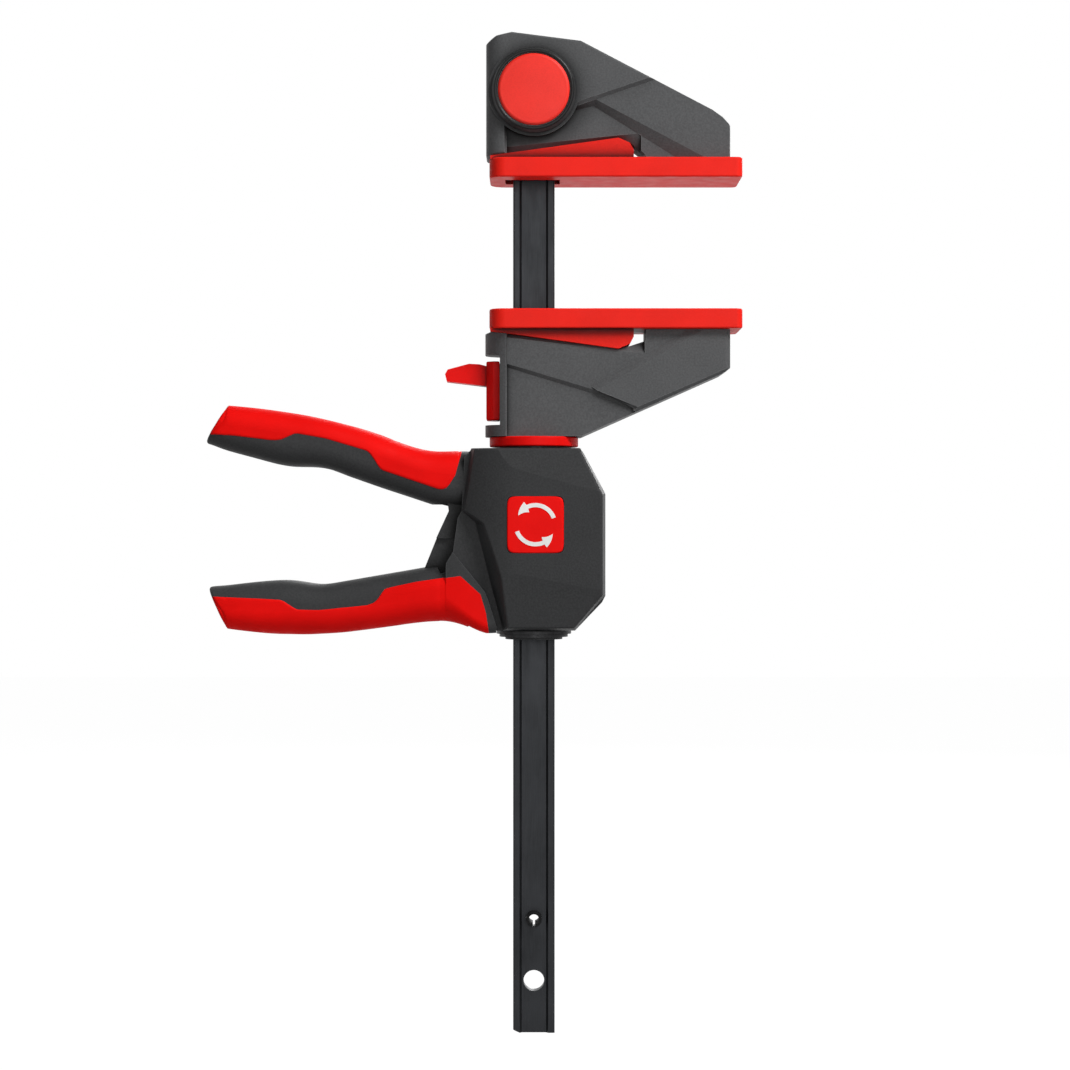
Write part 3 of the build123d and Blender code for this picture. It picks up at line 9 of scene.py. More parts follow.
import bpy
import numpy as np
from bpy.props import FloatProperty, FloatVectorProperty, PointerProperty
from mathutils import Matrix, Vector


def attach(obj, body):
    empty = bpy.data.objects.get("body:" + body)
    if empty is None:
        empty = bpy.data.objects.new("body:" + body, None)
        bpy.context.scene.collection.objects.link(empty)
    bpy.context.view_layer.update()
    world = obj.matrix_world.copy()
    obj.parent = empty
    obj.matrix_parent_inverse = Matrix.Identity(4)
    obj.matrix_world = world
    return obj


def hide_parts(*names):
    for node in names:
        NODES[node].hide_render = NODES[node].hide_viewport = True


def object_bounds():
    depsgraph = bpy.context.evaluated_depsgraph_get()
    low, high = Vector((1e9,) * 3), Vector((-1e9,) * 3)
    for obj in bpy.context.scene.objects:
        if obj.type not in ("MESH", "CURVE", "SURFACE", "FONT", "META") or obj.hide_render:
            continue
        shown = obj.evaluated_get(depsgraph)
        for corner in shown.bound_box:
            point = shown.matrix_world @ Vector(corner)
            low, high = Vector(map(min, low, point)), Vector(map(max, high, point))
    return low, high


bl_info = {
    "name": "Bar Clamp Dresser",
    "version": (1, 0, 0),
    "blender": (4, 5, 0),
    "location": "3D View > Sidebar > Clamp",
    "description": "Surfaces, finishes and studio for a quick release bar clamp",
    "category": "Object",
}

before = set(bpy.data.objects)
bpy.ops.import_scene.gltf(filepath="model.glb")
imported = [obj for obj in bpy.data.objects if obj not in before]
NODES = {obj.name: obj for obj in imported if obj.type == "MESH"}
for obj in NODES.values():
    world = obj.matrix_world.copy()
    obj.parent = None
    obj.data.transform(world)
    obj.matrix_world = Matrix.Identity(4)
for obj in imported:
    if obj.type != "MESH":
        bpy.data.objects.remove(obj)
CAD_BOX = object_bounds()
MM = 0.001
PLASTIC_SMOOTH = math.radians(35.0)
POLE_R = 0.002  # the tiny opening that closes a turned piece's pole, in mm

# Inlay and turn sign in mm: places are (x, z), levels lie along y with the front at -Y, angles in radians.
INLAY_PLACE = (0.6, -132.4)
INLAY_FRONT = -22.85
INLAY_BACK = -21.95
INLAY_EDGE = 0.5
SIGN_FRONT = -22.97
SIGN_BACK = -22.6
ARROW_STARTS = (0.35, 0.35 + math.pi)
ARROW_SWEEP = 2.3
ARROW_HEAD_AT = 0.72  # share of the sweep at which the head begins
ARROW_HALF_W = 0.8
ARROW_HEAD_HALF_W = 2.3
ARROW_POINT_HALF_W = 0.02

# Lock button's cap and bezel, and the rear screws' sockets, in mm.
LOCK_PLACE = (0.0, 33.3)
CAP_FRONT = -17.95
CAP_BACK = -14.9
CAP_EDGE = 1.1
CAP_DOME = 0.45
BEZEL_GAP = 1.1  # from the cap's rim to the middle of the bezel's oval section
BEZEL_Y = -16.95
BEZEL_HALF_W = 0.72
BEZEL_HALF_T = 0.55
REAR_SCREWS = [(23.2, -126.0, 18.0), (23.2, -154.0, 18.0), (-16.0, -107.2, 16.5)]  # x, z and head face y
SOCKET_R = 1.45
SOCKET_BASE_R = 1.5
SOCKET_PROUD = 0.06
SOCKET_SUNK = 0.2

# Side outlines of the grips, (x, z) in mm: crown, underside, half thickness and the line where red meets black.
HANDLE_TOP = [(-127.0, -86.2), (-117.3, -86.9), (-108.3, -87.7), (-98.0, -89.0), (-87.7, -90.6), (-77.3, -92.9),
              (-66.9, -95.6), (-60.0, -97.7), (-53.1, -100.5), (-46.2, -102.9), (-40.7, -104.3), (-35.9, -104.6),
              (-24.5, -104.2)]
HANDLE_UNDER = [(-127.0, -100.9), (-115.3, -104.6), (-98.0, -109.2), (-95.2, -109.8), (-82.1, -110.1),
                (-79.3, -110.8), (-60.0, -117.7), (-33.1, -126.6), (-24.5, -128.2)]
HANDLE_HALF = [(-127.0, 11.6), (-113.0, 12.6), (-98.0, 13.0), (-24.5, 13.0)]
HANDLE_TIP = [(-133.0, -112.0), (-109.9, -74.8)]
HANDLE_EDGE = [(-135.0, -96.6), (-113.8, -98.2), (-100.2, -99.9), (-96.8, -99.8), (-91.0, -97.2), (-79.7, -99.2),
               (-63.4, -104.0), (-61.4, -106.4), (-58.6, -111.1), (-36.1, -118.7), (-33.4, -118.4),
               (-30.0, -113.5), (-27.8, -105.0), (-27.2, -95.0)]
HANDLE_SECTIONS = 16
LEVER_TOP = [(-127.0, -156.6), (-106.1, -154.3), (-98.5, -153.7), (-93.1, -153.8), (-83.2, -155.2),
             (-79.4, -155.2), (-67.9, -153.2), (-42.3, -148.8), (-33.5, -147.2)]
LEVER_UNDER = [(-127.0, -170.8), (-117.6, -171.9), (-110.0, -173.0), (-98.5, -174.0), (-87.0, -174.1),
               (-75.5, -173.6), (-64.1, -172.3), (-52.6, -170.7), (-42.7, -169.4), (-33.5, -169.4)]
LEVER_HALF = [(-127.0, 11.6), (-112.0, 12.8), (-97.0, 13.0), (-70.0, 13.0), (-55.0, 13.3), (-42.0, 15.0),
              (-33.5, 15.8)]
LEVER_TIP = [(-131.6, -142.0), (-103.6, -202.8)]
LEVER_EDGE = [(-135.0, -159.6), (-107.1, -160.7), (-96.3, -161.3), (-90.6, -165.0), (-82.2, -165.2),
              (-63.3, -163.3), (-60.2, -161.9), (-57.0, -157.0), (-44.4, -154.2), (-28.0, -151.9)]
LEVER_SECTIONS = 15

# Soft skins in mm. A run holds x at the tip, x where the tip's rounding ends, x at the root, and the stations there.
HANDLE_SKIN_RUN = (-124.0, -121.0, -28.6, 190)
LEVER_SKIN_RUN = (-122.6, -119.0, -34.0, 170)
TIP_STATIONS = 14
STATION_STEP = 0.4
SKIN_COLUMNS = 121
SKIN_CROWDING = 1.7  # power that draws the columns together at the skin's borders
SKIN_SUNK = 0.1
SKIN_DEPTH = 1.6
EDGE_ROUND = 1.1
EDGE_LAP = 0.25
HANDLE_TAPER_X = -126.0
LEVER_TAPER_X = -125.5
TAPER_REACH = 5.0
LEVER_FADE_X = -36.0
LEVER_FADE_RUN = 16.0

# Patterns of the moulded plastics in mm, with the reach of their painted recess shade and the size of their pale
# edges, which are partly wear and partly painted highlight.
CLOUD_MM = 14.0
PAINTED_SHADE_REACH_MM = 9.0
PAINTED_SHADE_POWER = 4.5  # how fast the painted shade in a recess deepens
WEAR_AND_HIGHLIGHT_EDGE_MM = 0.45
WEAR_AND_HIGHLIGHT_PATCH_MM = 5.0

# Studio in metres: a lamp's name, its power setting, its side and its place.
LAMPS = (("key_lamp", "key_power", 0.5, (0.75, -0.8, 0.85)),
         ("fill_lamp", "fill_power", 0.8, (0.25, -1.4, 0.1)),
         ("rear_lamp", "rear_power", 0.8, (0.35, 1.2, 0.5)))
LAMP_TARGET_X = -0.02
CAMERA_X = 0.43 * MM
FLOOR_SIDE = 6.0
FLOOR_GREY = (0.4, 0.4, 0.4, 1.0)
FLOOR_ROUGHNESS = 0.9
FLOOR_GLOW = 1.13
FLOOR_GLOW_SHARE = 0.86
WHITE = (1.0, 1.0, 1.0, 1.0)


# ---------------------------------------------------------------- settings
def colour_property(name, description, default):
    return FloatVectorProperty(name=name, description=description, default=default, size=3, min=0.0, max=1.0,
                               subtype="COLOR")


class ClampSizes(bpy.types.PropertyGroup):
    """Sizes of the pieces that are shaped here."""

    lip: FloatProperty(name="Grip lip", description="How far the soft grip stands proud of the hard core",
                       default=0.4 * MM, min=0.0, unit="LENGTH")
    lip_run: FloatProperty(name="Lip run", description="Width over which the grip's lip rounds over",
                           default=0.9 * MM, min=0.0001, unit="LENGTH")
    section_round: FloatProperty(name="Section rounding", description="Corner radius as a share of a grip's height",
                                 default=0.42, min=0.1, max=0.5)
    button: FloatProperty(name="Button radius", description="Radius of the lock button's cap", default=13.62 * MM,
                          min=0.001, unit="LENGTH")
    inlay: FloatProperty(name="Inlay width", description="Side of the square inlay on the front cover",
                         default=21.5 * MM, min=0.001, unit="LENGTH")
    turn_ring: FloatProperty(name="Turn sign radius", description="Mean radius of the two turning arrows",
                             default=7.4 * MM, min=0.001, unit="LENGTH")


class ClampColours(bpy.types.PropertyGroup):
    """Colours of the finishes, as linear values."""

    jaw: colour_property("Jaws", "Moulded plastic of both jaws", (0.076, 0.077, 0.079))
    housing: colour_property("Housing", "Moulded plastic of the housing covers", (0.032, 0.0325, 0.0335))
    grip_core: colour_property("Grip core", "Hard plastic of the handle and the lever", (0.037, 0.0375, 0.0385))
    # Near-black of the bezel. This colour is also painted shade: in the gap round the lock button's cap, and in the
    # rear screws' sockets.
    bezel: colour_property("Bezel", "Black ring around the lock button", (0.004, 0.004, 0.004))
    grip: colour_property("Soft grip", "Soft overmould of the handle and the lever", (0.82, 0.004, 0.003))
    pad: colour_property("Pads", "Clamping pads", (0.80, 0.015, 0.008))
    button: colour_property("Lock button", "Lock button's cap", (0.80, 0.030, 0.020))
    signal: colour_property("Signal parts", "Release slide, collar and inlay", (0.80, 0.005, 0.004))
    sign: colour_property("Turn sign", "Print on the inlay", (0.80, 0.79, 0.77))
    rail: colour_property("Rail", "Burnished dark steel", (0.021, 0.022, 0.024))
    steel: colour_property("Plated steel", "Screws, pins, plates and springs", (0.36, 0.36, 0.37))
    dark_steel: colour_property("Dark steel", "Blackened washers, retaining ring and stop pin", (0.030, 0.030, 0.031))


class StudioSettings(bpy.types.PropertyGroup):
    """The camera's place and the light in the studio."""

    distance: FloatProperty(name="Distance", description="From the rail to the camera", default=1.062, min=0.1,
                            unit="LENGTH")
    height: FloatProperty(name="Height", description="Camera level in the clamp's frame", default=-0.1363,
                          unit="LENGTH")
    field: FloatProperty(name="Field of view", description="Across the square picture", default=0.3845,
                         min=0.05, max=2.0, subtype="ANGLE")
    key_power: FloatProperty(name="Key lamp", description="Power of the lamp above the front", default=21.0,
                             min=0.0, unit="POWER")
    fill_power: FloatProperty(name="Fill lamp", description="Power of the lamp in front", default=4.2, min=0.0,
                              unit="POWER")
    rear_power: FloatProperty(name="Rear lamp", description="Power of the lamp behind the clamp", default=13.0,
                              min=0.0, unit="POWER")
    surround: FloatProperty(name="Surround", description="Strength of the light from all around", default=0.1,
                            min=0.0, max=2.0)
    floor_drop: FloatProperty(name="Floor drop", description="From the rail's lower end down to the floor",
                              default=0.018, min=0.0, unit="LENGTH")


# ---------------------------------------------------------------- materials
class Graph:
    """A material's node tree with short calls for adding and linking nodes."""

    def __init__(self, name):
        self.material = bpy.data.materials.new(name)
        self.material.use_nodes = True
        self.tree = self.material.node_tree
        self.tree.nodes.clear()
        self.shader = self.add("ShaderNodeBsdfPrincipled")
        output = self.add("ShaderNodeOutputMaterial")
        self.tree.links.new(self.shader.outputs["BSDF"], output.inputs["Surface"])
        self.place = self.add("ShaderNodeTexCoord").outputs["Object"]

    def add(self, kind, **settings):
        node = self.tree.nodes.new(kind)
        for key, value in settings.items():
            setattr(node, key, value)
        return node

    def feed(self, node, name, value):
        """Sets an input, or links it where value is another node's output."""
        socket = node.inputs[name]
        if isinstance(value, bpy.types.NodeSocket):
            self.tree.links.new(value, socket)
        else:
            socket.default_value = value

    def noise(self, size_mm, detail=2.0, roughness=0.5, stretch=None):
        """Noise with spots of the given size; stretch lengthens them along X, Y or Z."""
        place = self.place
        if stretch:
            mapping = self.add("ShaderNodeMapping")
            self.feed(mapping, "Vector", place)
            self.feed(mapping, "Scale", stretch)
            place = mapping.outputs["Vector"]
        node = self.add("ShaderNodeTexNoise")
        self.feed(node, "Vector", place)
        self.feed(node, "Scale", 1.0 / (size_mm * MM))
        self.feed(node, "Detail", detail)
        self.feed(node, "Roughness", roughness)
        return node.outputs["Fac"]

    def ramp(self, value, low, high, start=0.35, stop=0.65):
        """Maps a noise value from start..stop to low..high."""
        node = self.add("ShaderNodeMapRange")
        self.feed(node, "Value", value)
        self.feed(node, "From Min", start)
        self.feed(node, "From Max", stop)
        self.feed(node, "To Min", low)
        self.feed(node, "To Max", high)
        return node.outputs["Result"]

    def blend(self, factor, first, second):
        """Mixes two colours by factor."""
        node = self.add("ShaderNodeMix", data_type="RGBA")
        self.feed(node, "Factor", factor)
        sockets = [s for s in node.inputs if s.type == "RGBA"]
        for socket, value in zip(sockets, (first, second)):
            if isinstance(value, bpy.types.NodeSocket):
                self.tree.links.new(value, socket)
            else:
                socket.default_value = (*value, 1.0)
        return next(s for s in node.outputs if s.type == "RGBA")

    def edges(self, radius_mm):
        """1 near convex or concave edges and 0 on faces, from how far a rounded normal leans off the true one."""
        bevel = self.add("ShaderNodeBevel", samples=4)
        self.feed(bevel, "Radius", radius_mm * MM)
        geometry = self.add("ShaderNodeNewGeometry")
        dot = self.add("ShaderNodeVectorMath", operation="DOT_PRODUCT")
        self.tree.links.new(bevel.outputs["Normal"], dot.inputs[0])
        self.tree.links.new(geometry.outputs["Normal"], dot.inputs[1])
        return self.ramp(dot.outputs["Value"], 1.0, 0.0, 0.86, 0.99)

    def math(self, operation, first, second):
        """The result of a math node on two values or outputs."""
        node = self.add("ShaderNodeMath", operation=operation)
        for socket, value in zip(node.inputs, (first, second)):
            if isinstance(value, bpy.types.NodeSocket):
                self.tree.links.new(value, socket)
            else:
                socket.default_value = value
        return node.outputs["Value"]

    def open_share(self, reach_mm):
        """1 on open faces, lower within reach of the part's own corners and slots."""
        cover = self.add("ShaderNodeAmbientOcclusion", samples=8, only_local=True)
        self.feed(cover, "Distance", reach_mm * MM)
        return cover.outputs["AO"]

    def shade(self, colour, share):
        """The colour multiplied by a share between 0 and 1."""
        return self.blend(share, (0.0, 0.0, 0.0), colour)

    def relief(self, *layers):
        """Bump layers of (height value, depth in mm, strength), chained into the shader's normal."""
        normal = None
        for height, depth_mm, strength in layers:
            bump = self.add("ShaderNodeBump")
            self.feed(bump, "Height", height)
            self.feed(bump, "Distance", depth_mm * MM)
            self.feed(bump, "Strength", strength)
            if normal:
                self.feed(bump, "Normal", normal)
            normal = bump.outputs["Normal"]
        self.feed(self.shader, "Normal", normal)


def scaled(colour, factor):
    return tuple(min(1.0, c * factor) for c in colour)


def moulded_plastic(name, colour, grain_mm=0.7, depth_mm=0.04, roughness=0.5, gloss=0.14, rub=2.6, speckle=0.4):
    """Hard plastic with a fine spark-eroded grain, faint cloudiness, painted shade in its recesses, and edges painted
    paler, partly as rubbed wear and partly as painted highlight.
    """
    g = Graph(name)
    cloud = g.noise(CLOUD_MM, 3.0)
    grain = g.noise(grain_mm, 2.0, 0.6)
    body = g.blend(g.ramp(cloud, 0.0, 1.0), scaled(colour, 0.95), scaled(colour, 1.05))
    speckled = g.blend(g.ramp(grain, 0.0, speckle), g.shade(body, 1.0 - speckle / 4), scaled(colour, 1.5))
    # Painted shade: the part's own ambient occlusion darkens the colour, so its recesses, slots and steps turn dark as
    # if shaded.
    share = g.open_share(PAINTED_SHADE_REACH_MM)
    with_painted_shade = g.shade(speckled, g.math("POWER", share, PAINTED_SHADE_POWER))
    # Edges painted paler in patches: partly rubbed wear and partly a painted highlight along the convex creases. The
    # open share keeps this out of the recesses.
    edge_wear_and_highlight = g.math("MULTIPLY", g.edges(WEAR_AND_HIGHLIGHT_EDGE_MM), g.ramp(g.noise(WEAR_AND_HIGHLIGHT_PATCH_MM, 2.0), 0.55, 0.85))
    corners = g.math("MULTIPLY", edge_wear_and_highlight, g.ramp(share, 0.0, 1.0, 0.8, 0.95))
    g.feed(g.shader, "Base Color", g.blend(corners, with_painted_shade, scaled(colour, rub)))
    g.feed(g.shader, "Roughness", g.ramp(g.noise(6.0, 4.0), roughness - 0.04, roughness + 0.05))
    g.feed(g.shader, "Specular IOR Level", gloss)
    g.relief((g.noise(9.0, 2.0), 0.03, 0.2), (grain, depth_mm, 0.6))
    return g.material


def soft_rubber(name, colour, roughness=0.55):
    """Soft overmoulded grip: satin, with a very fine grain and a faint sheen."""
    g = Graph(name)
    cloud = g.noise(18.0, 3.0)
    grain = g.noise(0.3, 2.0, 0.6)
    body = g.blend(g.ramp(cloud, 0.0, 1.0), scaled(colour, 0.93), scaled(colour, 1.05))
    g.feed(g.shader, "Base Color", g.blend(g.ramp(grain, 0.0, 0.25), body, scaled(colour, 0.85)))
    g.feed(g.shader, "Roughness", g.ramp(g.noise(5.0, 4.0), roughness - 0.06, roughness + 0.08))
    g.feed(g.shader, "Specular IOR Level", 0.06)
    g.relief((g.noise(7.0, 2.0), 0.06, 0.2), (grain, 0.02, 0.5))
    return g.material


def burnished_steel(name, colour):
    """Dark rolled steel bar: fine draw lines along its length, faint stains, edges rubbed bright."""
    g = Graph(name)
    lines = g.noise(0.25, 3.0, 0.6, stretch=(1.0, 1.0, 0.03))
    stain = g.noise(22.0, 4.0, 0.6)
    body = g.blend(g.ramp(stain, 0.0, 1.0), scaled(colour, 0.8), scaled(colour, 1.2))
    streaked = g.blend(g.ramp(lines, 0.0, 0.5), body, scaled(colour, 1.5))
    edge_wear_and_highlight = g.math("MULTIPLY", g.edges(0.35), g.ramp(g.noise(2.5, 3.0), 0.2, 0.8))
    g.feed(g.shader, "Base Color", g.blend(edge_wear_and_highlight, streaked, scaled(colour, 2.6)))
    g.feed(g.shader, "Metallic", 0.9)
    g.feed(g.shader, "Roughness", g.ramp(g.noise(4.0, 4.0, stretch=(1.0, 1.0, 0.2)), 0.34, 0.5))
    g.relief((g.noise(12.0, 2.0), 0.05, 0.2), (lines, 0.012, 0.5))
    return g.material


def bright_steel(name, colour, roughness=0.3):
    """Plated or oiled steel with turned marks too fine to see singly."""
    g = Graph(name)
    cloud = g.noise(2.0, 4.0)
    body = g.blend(g.ramp(cloud, 0.0, 1.0), scaled(colour, 0.85), scaled(colour, 1.1))
    g.feed(g.shader, "Base Color", g.blend(g.edges(0.15), body, scaled(colour, 1.5)))
    g.feed(g.shader, "Metallic", 1.0)
    g.feed(g.shader, "Roughness", g.ramp(g.noise(0.8, 3.0), roughness - 0.07, roughness + 0.1))
    g.relief((g.noise(0.4, 2.0), 0.008, 0.4))
    return g.material


def finish_nodes(material, *names):
    """Gives CAD nodes that keep their own shape one material."""
    for name in names:
        mesh = NODES[name].data
        mesh.materials.clear()
        mesh.materials.append(material)


# ---------------------------------------------------------------- surfaces
def make_piece(name, points, faces, material, body, slot):
    """An object at the origin from points in mm and quads, turned outwards by the sign of its volume."""
    quads = np.asarray(faces)
    a, b, c, d = (points[quads[:, k]] for k in range(4))
    volume = (np.einsum("ij,ij->i", a, np.cross(b, c)) + np.einsum("ij,ij->i", a, np.cross(c, d))).sum()
    if volume < 0:
        quads = quads[:, ::-1]
    mesh = bpy.data.meshes.new(name)
    mesh.from_pydata((points * MM).tolist(), [], quads.tolist())
    mesh.polygons.foreach_set("use_smooth", np.ones(len(mesh.polygons), bool))
    mesh.set_sharp_from_angle(angle=PLASTIC_SMOOTH)
    mesh.materials.append(material)
    piece = bpy.data.objects.new(name, mesh)
    bpy.context.collection.objects.link(piece)
    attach(piece, body)
    return piece


def thick_sheet(outer, inner):
    """Points and quads of a closed sheet between two grids of the same shape, walled along its four sides."""
    rows, columns = outer.shape[:2]
    points = np.concatenate([outer.reshape(-1, 3), inner.reshape(-1, 3)])
    o = np.arange(rows * columns).reshape(rows, columns)
    i = o + rows * columns

    def strip(*corners):
        return np.stack([corner.ravel() for corner in corners], 1)

    faces = np.concatenate([
        strip(o[:-1, :-1], o[1:, :-1], o[1:, 1:], o[:-1, 1:]),
        strip(i[:-1, :-1], i[:-1, 1:], i[1:, 1:], i[1:, :-1]),
        strip(o[1:, 0], o[:-1, 0], i[:-1, 0], i[1:, 0]),
        strip(o[:-1, -1], o[1:, -1], i[1:, -1], i[:-1, -1]),
        strip(o[0, :-1], o[0, 1:], i[0, 1:], i[0, :-1]),
        strip(o[-1, 1:], o[-1, :-1], i[-1, :-1], i[-1, 1:]),
    ])
    return points, faces


def turned_ring(profile, centre, outline=None, steps=128):
    """A closed profile of (radius, y) carried once round an axis along Y: x = r cos t, z = r sin t.

    The outline, a function of the angle, stretches the radius to follow a shape that isn't round.
    """
    turn = np.linspace(0.0, 2.0 * np.pi, steps, endpoint=False)
    stretch = outline(turn) if outline else np.ones(steps)
    radius = profile[:, 0][:, None] * stretch[None, :]
    points = np.stack([centre[0] + radius * np.cos(turn), np.repeat(profile[:, 1][:, None], steps, 1),
                       centre[1] + radius * np.sin(turn)], -1).reshape(-1, 3)
    index = np.arange(len(profile) * steps).reshape(len(profile), steps)
    right = np.roll(index, -1, 1)
    faces = np.stack([index, right, np.roll(right, -1, 0), np.roll(index, -1, 0)], -1).reshape(-1, 4)
    return points, faces


def rounded_disc_profile(radius, front, back, edge, dome):
    """Half outline of a domed disc with a round rim: face y = front + dome (r / R)^2, then a quarter circle."""
    flat = radius - edge
    run = np.linspace(0.001, 1.0, 14)
    face = np.stack([run * flat, front + dome * (run * flat / radius) ** 2], 1)
    angle = np.linspace(0.0, np.pi / 2, 9)[1:]
    rim = np.stack([flat + edge * np.sin(angle), face[-1, 1] + edge * (1.0 - np.cos(angle))], 1)
    return np.concatenate([face, rim, [(radius, back), (face[0, 0], back)]])


def smooth_curve(x, points):
    """A cubic through the points; each slope is the mean of the slopes on either side of its point."""
    px, py = np.array(points, float).T
    step = np.diff(py) / np.diff(px)
    slope = np.concatenate([[step[0]], (step[1:] + step[:-1]) / 2, [step[-1]]])
    k = np.clip(np.searchsorted(px, x) - 1, 0, len(px) - 2)
    width = px[k + 1] - px[k]
    t = (x - px[k]) / width
    return (py[k] * (1 + 2 * t) * (1 - t) ** 2 + slope[k] * width * t * (1 - t) ** 2
            + py[k + 1] * t ** 2 * (3 - 2 * t) + slope[k + 1] * width * t ** 2 * (t - 1))


def blended(x, points, sections):
    """The curve that a blend through evenly spaced sections follows, each taken from the line of points."""
    px, py = np.array(points).T
    stations = np.linspace(px[0], px[-1], sections)
    return smooth_curve(x, np.stack([stations, np.interp(stations, px, py)], 1))


def smooth_line(x, points, reach):
    """A line through the points whose corners are rounded by averaging over the reach on both sides."""
    px, py = np.array(points, float).T
    offsets = np.linspace(-reach, reach, 9)
    return np.mean([np.interp(x + offset, px, py) for offset in offsets], 0)


def section_point(s, half, top, bottom, corner):
    """The point and outward normal (y, z, ny, nz) at run s round half of a rounded rectangle.

    The run starts at the middle of the top, follows the flat, the upper quarter circle, the side, the lower
    quarter circle and the flat below.
    """
    flat = half - corner
    arc = np.pi * corner / 2
    side = top - bottom - 2 * corner
    upper = np.clip((s - flat) / corner, 0.0, np.pi / 2)
    lower = np.clip((s - flat - arc - side) / corner, 0.0, np.pi / 2)
    below = np.maximum(s - flat - 2 * arc - side, 0.0)
    drop = np.clip(s - flat - arc, 0.0, side)
    on_lower = s > flat + arc + side
    y = np.where(on_lower, flat + corner * np.cos(lower) - below, np.minimum(s, flat) + corner * np.sin(upper))
    z = np.where(on_lower, bottom + corner - corner * np.sin(lower), top - corner + corner * np.cos(upper) - drop)
    ny = np.where(on_lower, np.cos(lower), np.sin(upper))
    nz = np.where(on_lower, -np.sin(lower), np.cos(upper))
    return y, z, ny, nz


def run_to_level(level, half, top, bottom, corner):
    """The run from the middle of the top, round half a section, down to a level z."""
    flat = half - corner
    arc = np.pi * corner / 2
    side = top - bottom - 2 * corner
    upper = corner * np.arccos(np.clip((level - top + corner) / corner, 0.0, 1.0))
    lower = corner * np.arcsin(np.clip((bottom + corner - level) / corner, 0.0, 1.0))
    return flat + upper + np.clip(top - corner - level, 0.0, side) + lower


def skin_stations(tip, rounded, root, count):
    """Places along a grip from tip to root, closer together where the skin rounds over at the tip."""
    return np.concatenate([np.linspace(tip, rounded, TIP_STATIONS), np.linspace(rounded + STATION_STEP, root, count)])


def soft_skin(x, half, top, bottom, edge, sizes, fade, flip=1.0):
    """The soft half of a grip as a closed skin over the hard core.

    At each x the section is a rounded rectangle. The skin covers it from the red edge in front, over the top,
    to the red edge behind, and stands proud by the lip. At its borders the height falls as a quarter ellipse,
    proud = lip sqrt(1 - (1 - d / run)^2), with d the distance from the border, and ends just below the core.
    The fade, a share for each x, lowers the lip. flip = -1 turns the section over, for a grip whose soft half
    lies below.
    """
    if flip < 0:
        top, bottom, edge = -bottom, -top, -edge
    corner = sizes.section_round * (top - bottom)
    reach = run_to_level(edge, half, top, bottom, corner)
    span = np.linspace(-1.0, 1.0, SKIN_COLUMNS)
    span = np.sign(span) * (1.0 - (1.0 - np.abs(span)) ** SKIN_CROWDING)
    run = reach[:, None] * np.abs(span)[None, :]
    columns = [np.repeat(v[:, None], len(span), 1) for v in (half, top, bottom, corner)]
    y, z, ny, nz = section_point(run, *columns)
    y, ny = np.sign(span) * y, np.sign(span) * ny
    lip_run = sizes.lip_run / MM
    from_edge = reach[:, None] - run
    from_end = np.minimum(x - x[0], x[-1] - x)
    near = np.clip(np.minimum(from_edge, from_end[:, None]) / lip_run, 0.0, 1.0)
    proud = (sizes.lip / MM + SKIN_SUNK) * np.sqrt(1.0 - (1.0 - near) ** 2) * fade[:, None] - SKIN_SUNK
    place = np.repeat(x[:, None], len(span), 1)
    outer = np.stack([place, y + ny * proud, flip * (z + nz * proud)], -1)
    inner = np.stack([place, y - ny * SKIN_DEPTH, flip * (z - nz * SKIN_DEPTH)], -1)
    return thick_sheet(outer, inner)


def tip_taper(x, tip, half):
    """Half thickness drawn in towards the tip: h - (r - sqrt(r^2 - (r - d)^2)) / 2, r the reach, d from the tip."""
    near = TAPER_REACH - np.clip(x - tip, 0.0, TAPER_REACH)
    return half - (TAPER_REACH - np.sqrt(TAPER_REACH ** 2 - near ** 2)) / 2


def turn_arrow(start, sizes):
    """One arrow of the turn sign: a strip r = R + v w(t), whose half width w widens to a head and runs out."""
    angle = np.linspace(0.0, 1.0, 61)
    width = np.interp(angle, [0.0, ARROW_HEAD_AT, ARROW_HEAD_AT + 0.0001, 1.0],
                      [ARROW_HALF_W, ARROW_HALF_W, ARROW_HEAD_HALF_W, ARROW_POINT_HALF_W])
    turn = start + ARROW_SWEEP * angle
    across = np.linspace(-1.0, 1.0, 5)
    radius = sizes.turn_ring / MM + across[None, :] * width[:, None]
    x = INLAY_PLACE[0] + radius * np.cos(turn)[:, None]
    z = INLAY_PLACE[1] + radius * np.sin(turn)[:, None]
    return thick_sheet(*(np.stack([x, np.full_like(x, y), z], -1) for y in (SIGN_FRONT, SIGN_BACK)))


def six_points(turn):
    """Radius of a six-pointed socket at each angle: 1 + 0.14 cos 6t."""
    return 1.0 + 0.14 * np.cos(6.0 * turn)


def rounded_square(turn, power=9.0):
    """Radius of the curve |x|^n + |z|^n = 1 at each angle."""
    return (np.abs(np.cos(turn)) ** power + np.abs(np.sin(turn)) ** power) ** (-1.0 / power)


# ---------------------------------------------------------------- pieces
class PieceOperator(bpy.types.Operator):
    """Shared base of the operators that dress one group of pieces."""

    bl_options = {"REGISTER", "UNDO"}

    def execute(self, context):
        scene = context.scene
        self.make(scene.clamp_colours, scene.clamp_sizes, scene.clamp_studio)
        return {"FINISHED"}


